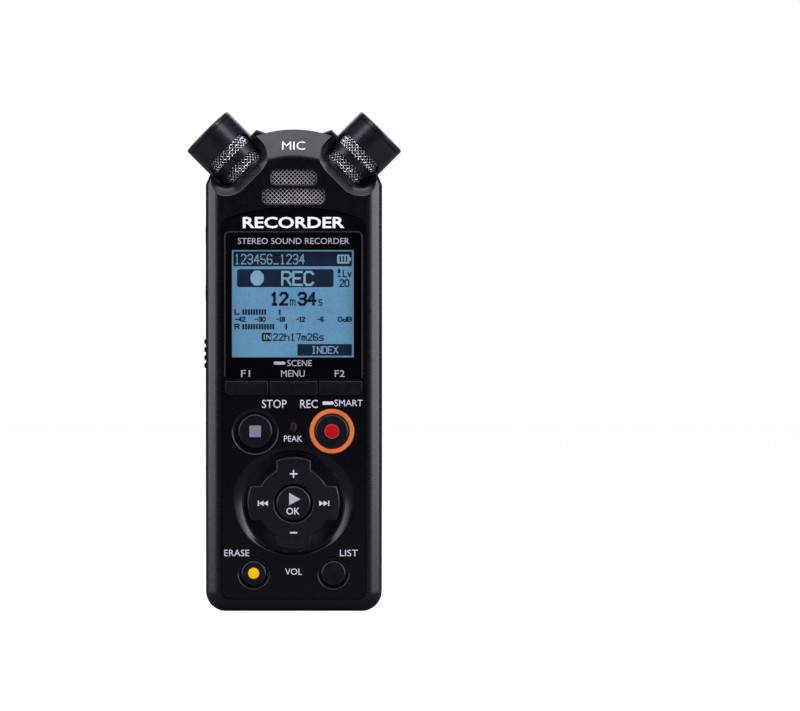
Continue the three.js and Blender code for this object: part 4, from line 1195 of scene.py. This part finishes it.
def weave(name, paths, radius, sides=5):
    """Wires along open paths, as one mesh."""
    verts, faces = [], []
    for path in paths:
        base = len(verts)
        count = len(path)
        for i, p in enumerate(path):
            a, b = path[max(i - 1, 0)], path[min(i + 1, count - 1)]
            along = (Vector(b) - Vector(a)).normalized()
            side = along.orthogonal().normalized()
            up = along.cross(side)
            if i:
                side = (side_before - along * side_before.dot(along)).normalized()
                up = along.cross(side)
            side_before = side
            for k in range(sides):
                angle = 2 * math.pi * k / sides
                verts.append(tuple(Vector(p) + (side * math.cos(angle) + up * math.sin(angle)) * radius))
        for i in range(count - 1):
            for k in range(sides):
                m = (k + 1) % sides
                faces.append(
                    (
                        base + i * sides + k, base + i * sides + m, base + (i + 1) * sides + m,
                        base + (i + 1) * sides + k
                    )
                )
        faces.append(tuple(base + k for k in reversed(range(sides))))
        faces.append(tuple(base + (count - 1) * sides + k for k in range(sides)))
    return object_of(name, verts, faces)


def sleeve_paths(radius, low, high, wires):
    """Two families of crossing helices that weave over and under each other."""
    paths = []
    height = high - low
    turn = height / radius
    count = int(wires * turn / math.pi * 4)
    for family in (1, -1):
        for k in range(wires):
            path = []
            for i in range(count + 1):
                t = i / count
                angle = 2 * math.pi * k / wires + family * turn * t
                r = radius + 0.09 * family * math.cos(wires * turn * t)
                path.append((r * math.cos(angle), r * math.sin(angle), low + height * t))
            paths.append(path)
    return paths


def window_tools(middle, half):
    w = 1.19
    loop = centred(0, middle, half, w, w - 0.02, 10)
    return [plate("window", loop, -40, -1.8), plate("window", loop, 1.8, 40)]


def microphone(side):
    r, seam = BARREL_R, BARREL_END - 1.2
    profile = [
        (1.2, 13.6), (r - 0.3, 13.6), (r, 13.9), (r, seam - 0.02), (r - 0.12, seam), (5.65, seam),
        (5.65, 14.5), (1.2, 14.5), (1.2, 13.6)
    ]
    barrel = lathe(side + "_barrel", profile, "z", n=96)
    cut(barrel, *window_tools(20.66, 5.8), *window_tools(16.5, 5.0))
    cap_profile = [
        (0, seam - 0.9), (5.35, seam - 0.9), (5.35, seam + 0.05), (r - 0.12, seam + 0.05), (r, seam + 0.16)
    ]
    for i in range(7):
        a = math.pi / 2 * i / 6
        cap_profile.append((r - 0.45 + 0.45 * math.cos(a), BARREL_END - 0.45 + 0.45 * math.sin(a)))
    cap_profile += [(r - 1.0, BARREL_END - 0.02), (r - 1.1, BARREL_END - 0.1), (0, BARREL_END - 0.1)]
    cap = lathe(side + "_cap", cap_profile, "z", n=96)
    sleeve = weave(side + "_wire_sleeve", sleeve_paths(5.42, 14.8, 22.6, 36), 0.1)
    # A near-black sleeve behind the mesh: painted shade for the microphone's dim inside.
    shade_backing = lathe(side + "_foam", hoop(4.95, 5.15, 14.9, 22.5), "z", n=48)
    for obj, look, name, slot in (
        (barrel, "barrel", "_mic_barrel", "case"),
        (cap, "cap", "_mic_cap", "case"),
        (sleeve, "wire", "_mic_mesh", "steel"),
        (shade_backing, "shade_backing", None, "silicone"),
    ):
        on_left_axis(obj)
        if side == "right":
            flip(obj)
        piece(obj, ROOT, look, side + name if name else ())


for side in ("left", "right"):
    microphone(side)


def centre_grille():
    """Woven wire behind the two front slots, cut to their room."""
    x0, x1, z0, z1 = -7.6, 7.6, 91.1, 99.6
    pitch, y, wave = 0.66, FRONT + 0.8, 0.09
    paths = []
    for family in (1, -1):
        for k in range(-30, 30):
            offset = k * pitch * math.sqrt(2)
            run = []
            for i in range(0, 400):
                x = x0 + (x1 - x0) * i / 110
                z = z0 + (family * (x - x0)) + offset
                if x > x1 + 1e-6:
                    break
                if z0 <= z <= z1:
                    across = (x - x0) / (pitch * math.sqrt(2) / 2)
                    run.append((x, y + family * wave * math.cos(math.pi * across), z))
                elif run:
                    break
            if len(run) > 2:
                paths.append(run)
    grille = weave("front_wire_grille", paths, 0.05)
    piece(grille, ROOT, "dull_wire", "centre_mic_grille")
    # A near-black sheet behind the grille: painted shade for the dim room behind the slots.
    shade_backing = plate("front_mic_foam", rounded(-7.5, 7.5, 91.2, 99.5, 1.2), FRONT + 1.02, FRONT + 1.1)
    piece(shade_backing, ROOT, "shade_backing")


centre_grille()


# ---- sides and back


def jack(name, z):
    out = -HALF - 0.17
    profile = [
        (1.8, -16.0), (2.5, -16.0), (2.5, -HALF + 0.05), (2.42, out + 0.06), (2.3, out), (1.98, out),
        (1.8, out + 0.25), (1.8, -16.0)
    ]
    collar = lathe(name + "_collar", profile, "x", (0, 0, z), 64)
    piece(collar, ROOT, "dark_steel")
    contact = lathe(name + "_contact", hoop(1.8, 2.45, -16.0, -14.6), "x", (0, 0, z), 48)
    piece(contact, ROOT, "gold")
    tube = lathe(
        name + "_bore",
        [(1.85, -14.55), (2.45, -14.55), (2.45, -9), (0, -9), (0, -9.6), (1.85, -9.6), (1.85, -14.55)], "x",
        (0, 0, z), 48
    )
    piece(tube, ROOT, "card")
    body = box(name + "_body", (-17.5, -6.8), (-2.85, 2.85), (z - 2.65, z + 2.65), edge=0.2)
    cut(body, rod(2.55, -HALF, -8.8, "x", (0, 0, z), 48))
    piece(body, ROOT, "card", name)


for name, z in JACKS.items():
    jack(name, z)


def power_slider():
    z = SLIDER_Z
    track = centred(0, z, 1.4, SLIDER_HALF, 0.35)
    knob = side_stack(
        "slider_knob",
        [(inset(track, d), x) for x, d in ((-HALF + 0.02, 0.12), (-HALF + 0.12, 0), (-17.7, 0))]
    )
    parts = [
        box("tool", (-18.1, -17.3), (-2.4, 2.4), (z - 7, z + 7)),
        box("tool", (-17.4, -16.5), (-3.4, -1.8), (z - 1, z + 1))
    ]
    for i in range(4):
        middle = z + (i - 1.5) * 1.8
        ridge = centred(-HALF, middle, 0.5, 0.56, (0.3, 0.02, 0.02, 0.3), 5)
        parts.append(plate("tool", ridge, -1.38, 1.38))
    join(knob, *parts)
    piece(knob, "slider", "slider", "power_slider")


power_slider()


def battery_cover():
    half, hinge = COVER["half"], (0, COVER["y"], COVER["z"])
    loop = rounded(-half, half, COVER["z"], COVER["top"], (0.02, 0.02, 1.0, 1.0))
    levels = ((0, BACK - 1.25), (0, BACK - 0.14), (0.12, BACK - 0.02), (0.3, BACK))
    skin = stack("battery_lid", [(inset(loop, d) if d else loop, y) for d, y in levels])
    rib = box("rib", (-4.2, 4.2), (BACK - 1.6, BACK - 1.2), (12, 48), edge=0.1)
    join(skin, rod(COVER["r"], -half, half, "x", hinge, 48), rib)
    tools = [rod(0.5, -40, 40, "x", hinge, 24)]
    for i in range(6):
        grip = centred(0, 46.2 + i * 0.95, 4.4 - 0.25 * i, 0.16, 0.15, 3)
        tools.append(plate("grip", grip, BACK - 0.22, BACK + 1))
    arrow = [(-1.3, 44.6), (1.3, 44.6), (0, 42.9)]
    tools.append(plate("arrow", clean(arrow), BACK - 0.16, BACK + 1))
    cut(skin, *tools)
    piece(skin, "battery_door", "case", "battery_cover", name="battery_lid")


battery_cover()


def side_door():
    front, low, top, hinge = DOOR["front"], DOOR["bottom"], DOOR["top"], (DOOR["x"], DOOR["y"], 0)
    loop = rounded(front, DOOR["y"], low, top, (0.6, 0.02, 0.02, 0.6), 5)
    depths = ((18.5, 0), (HALF - 0.15, 0), (HALF - 0.03, 0.1), (HALF, 0.25))
    skin = side_stack("port_lid", [(inset(loop, d), x) for x, d in depths])
    join(skin, rod(DOOR["r"], low, top, "z", hinge, 40))
    notch = rounded(front - 1, front + 0.7, 71, 77, 0.3, 4)
    nail = side_stack("nail_notch", [(notch, HALF - 0.5), (notch, HALF + 1)])
    cut(skin, rod(0.45, 0, 120, "z", hinge, 20), nail)
    piece(skin, "port_door", "case", "side_door", name="port_lid")


side_door()


def tripod_bush():
    back = BACK - 0.05
    profile = [
        (0, BACK - 7), (4.7, BACK - 7), (4.7, BACK - 0.8), (5.4, BACK - 0.8), (5.4, back - 0.1),
        (5.3, back), (3.5, back), (3.2, back - 0.3)
    ]
    pitch, depth = 1.27, 0.5
    y = back - 0.3
    while y > BACK - 6:
        profile += [(3.2, y), (3.2 - depth * 0.6, y - pitch / 2)]
        y -= pitch
    profile += [(3.0, BACK - 6.4), (0, BACK - 6.4)]
    bush = lathe("tripod_bush", profile, "y", (0, 0, TRIPOD_Z), 72)
    piece(bush, ROOT, "brass", "tripod_socket")


tripod_bush()


def case_screw(i, x, z):
    top = BACK - 0.1
    profile = [
        (0, -0.4), (0.75, -0.4), (0.75, BACK - 1.1), (1.7, BACK - 1.1), (1.7, top - 0.3), (1.5, top - 0.08),
        (1.1, top), (0, top)
    ]
    screw = lathe(f"screw_{i}", profile, "y", (x, 0, z), 48)
    arms = []
    for w, h in ((0.95, 0.2), (0.2, 0.95)):
        loop = centred(x, z, w, h, 0.1, 3)
        arms.append(stack("tool", [(inset(loop, 0.12), top - 0.7), (loop, top + 0.3)]))
    cut(screw, *arms)
    piece(screw, ROOT, "dark_steel", f"case_screw_{i}")


for i, (x, z) in enumerate(SCREWS, 1):
    case_screw(i, x, z)


def loudspeaker():
    profile = [
        (0, 4.4), (5, 4.4), (5, 5.4), (7.5, 5.4), (7.5, 7.05), (6.9, 7.1), (6.4, 6.9), (6.0, 7.05),
        (5.5, 6.7), (3.0, 6.1), (2.6, 6.2), (1.4, 6.6), (0, 6.7)
    ]
    cone = lathe("speaker_unit", profile, "y", (0, 0, SPEAKER_Z), 64)
    piece(cone, ROOT, "cone", "speaker", angle=50)


loudspeaker()


def battery():
    y, low, top = 1.85, 7.0, 51.5
    r = 5.15
    body = lathe(
        "cell_sleeve",
        [
            (0, low + 0.3), (3.6, low + 0.3), (3.7, low), (r - 0.3, low), (r, low + 0.3), (r, 36.0),
            (r, top - 1.5), (r - 0.4, top - 1.1), (3.4, top - 1.1), (3.2, top - 1.25), (0, top - 1.25)
        ],
        "z", (0, y, 0), 64
    )
    piece(body, ROOT, "cell", "battery_cell")
    band = lathe("cell_band", hoop(r + 0.005, r + 0.02, 37.0, top - 1.6), "z", (0, y, 0), 64)
    piece(band, ROOT, "cell_end")
    nub = lathe(
        "cell_nub", [(0, top - 1.3), (1.9, top - 1.3), (1.9, top - 0.25), (1.65, top), (0, top)], "z",
        (0, y, 0), 48
    )
    piece(nub, ROOT, "steel")


battery()

KEPT = {
    "lcd_module": "card",
    "main_board": "board",
    "keypad_rubber": "rubber",
    "processor_shield": "steel",
    "slide_switch": "steel",
    "usb_port": "steel",
    "card_socket": "steel",
    "memory_card": "card",
    "battery_plate": "steel",
    "battery_spring": "wire",
    "cover_hinge_pin": "steel",
    "door_hinge_pin": "steel",
    "strap_bar": "steel",
    "centre_mic_capsule": "steel",
    "centre_mic_boot": "rubber",
}
for side in ("left", "right"):
    KEPT[side + "_mic_capsule"] = "gold"
    KEPT[side + "_mic_mount"] = "rubber"
    KEPT[side + "_mic_lead"] = "wire_black"
for name, key in KEPT.items():
    mesh = NODES[name].data
    mesh.materials.clear()
    mesh.materials.append(LOOK[key])


# ---- floor, lights and camera


def camera_sees(tree, out, seen, unseen):
    """Ends the tree with one shader for the camera and another for every other ray."""
    path = node(tree, "ShaderNodeLightPath")
    choose = node(tree, "ShaderNodeMixShader")
    tree.links.new(path.outputs["Is Camera Ray"], choose.inputs["Fac"])
    tree.links.new(unseen.outputs[0], choose.inputs[1])
    tree.links.new(seen.outputs[0], choose.inputs[2])
    tree.links.new(choose.outputs[0], out.inputs[0])


def floor():
    size = 3.0
    corners = [(-size, -size, 0), (size, -size, 0), (size, size, 0), (-size, size, 0)]
    obj = object_of("floor", corners, [(0, 1, 2, 3)])
    mat = bpy.data.materials.new("pale_floor")
    tree = bare_tree(mat)
    link = tree.links.new
    out = node(tree, "ShaderNodeOutputMaterial")
    white = node(tree, "ShaderNodeEmission", Strength=0.97)
    paint = node(tree, "ShaderNodeBsdfDiffuse")
    dark = node(tree, "ShaderNodeBsdfDiffuse", Color=(0.17, 0.165, 0.18, 1))
    both_lit = node(tree, "ShaderNodeAddShader")
    place = node(tree, "ShaderNodeTexCoord")
    speckle = node(tree, "ShaderNodeTexNoise", Scale=60.0, Detail=3.0)
    link(place.outputs["Object"], speckle.inputs["Vector"])
    link(ranged(tree, speckle.outputs["Fac"], 0.3, 0.7, 0.8, 0.84), paint.inputs["Color"])
    link(white.outputs[0], both_lit.inputs[0])
    link(paint.outputs[0], both_lit.inputs[1])
    camera_sees(tree, out, both_lit, dark)
    obj.data.materials.append(mat)


def world():
    made = bpy.data.worlds.new("studio")
    bpy.context.scene.world = made
    tree = bare_tree(made)
    out = node(tree, "ShaderNodeOutputWorld")
    dim = node(tree, "ShaderNodeBackground", Color=(0.86, 0.9, 1.0, 1), Strength=0.014)
    white = node(tree, "ShaderNodeBackground", Color=(1, 1, 1, 1), Strength=1.0)
    camera_sees(tree, out, white, dim)


def softbox(name, at, target, size, power, color=(1, 1, 1)):
    light = bpy.data.lights.new(name, "AREA")
    light.shape = "RECTANGLE"
    light.size, light.size_y = size
    light.energy = power
    light.color = color
    obj = placed(name, light)
    obj.location = at
    obj.rotation_euler = (Vector(target) - Vector(at)).to_track_quat("-Z", "Y").to_euler()
    obj.visible_camera = False


def studio():
    middle = (0, 0, 0.06)
    tint = (0.93, 0.91, 1.0)
    softbox("top_front", (0, -0.46, 0.76), middle, (0.9, 0.34), 2.6, tint)
    softbox("overhead", (0, 0.1, 0.9), middle, (0.8, 0.6), 3.2, tint)
    softbox("left_side", (-0.6, -0.15, 0.15), middle, (0.75, 0.7), 3.8, tint)
    softbox("right_side", (0.6, -0.15, 0.15), middle, (0.75, 0.7), 5.4, tint)
    softbox("left_front", (-0.47, -0.42, 0.2), middle, (0.25, 0.8), 0.42, tint)
    softbox("right_front", (0.45, -0.44, 0.2), middle, (0.3, 0.8), 0.8, tint)
    softbox("upper_left", (-0.5, -0.5, 0.56), middle, (0.3, 0.3), 0.5, tint)
    softbox("upper_right", (0.5, -0.5, 0.56), middle, (0.3, 0.3), 0.5, tint)
    softbox("back_glow", (0, 0.8, 0.5), middle, (0.8, 0.5), 2.0, tint)


def camera():
    data = bpy.data.cameras.new("camera")
    data.type = "PERSP"
    data.lens = 250
    data.sensor_width = 36
    data.clip_start, data.clip_end = 0.05, 20
    obj = placed("camera", data)
    aim_x, aim_z, distance = 0.02388, 0.05746, 1.2464
    obj.location = (aim_x, FRONT * MM - distance, aim_z)
    obj.rotation_euler = (math.pi / 2, 0, 0)
    bpy.context.scene.camera = obj


floor()
world()
studio()
camera()
bpy.context.scene.view_settings.view_transform = "Standard"
bpy.context.scene.view_settings.look = "None"
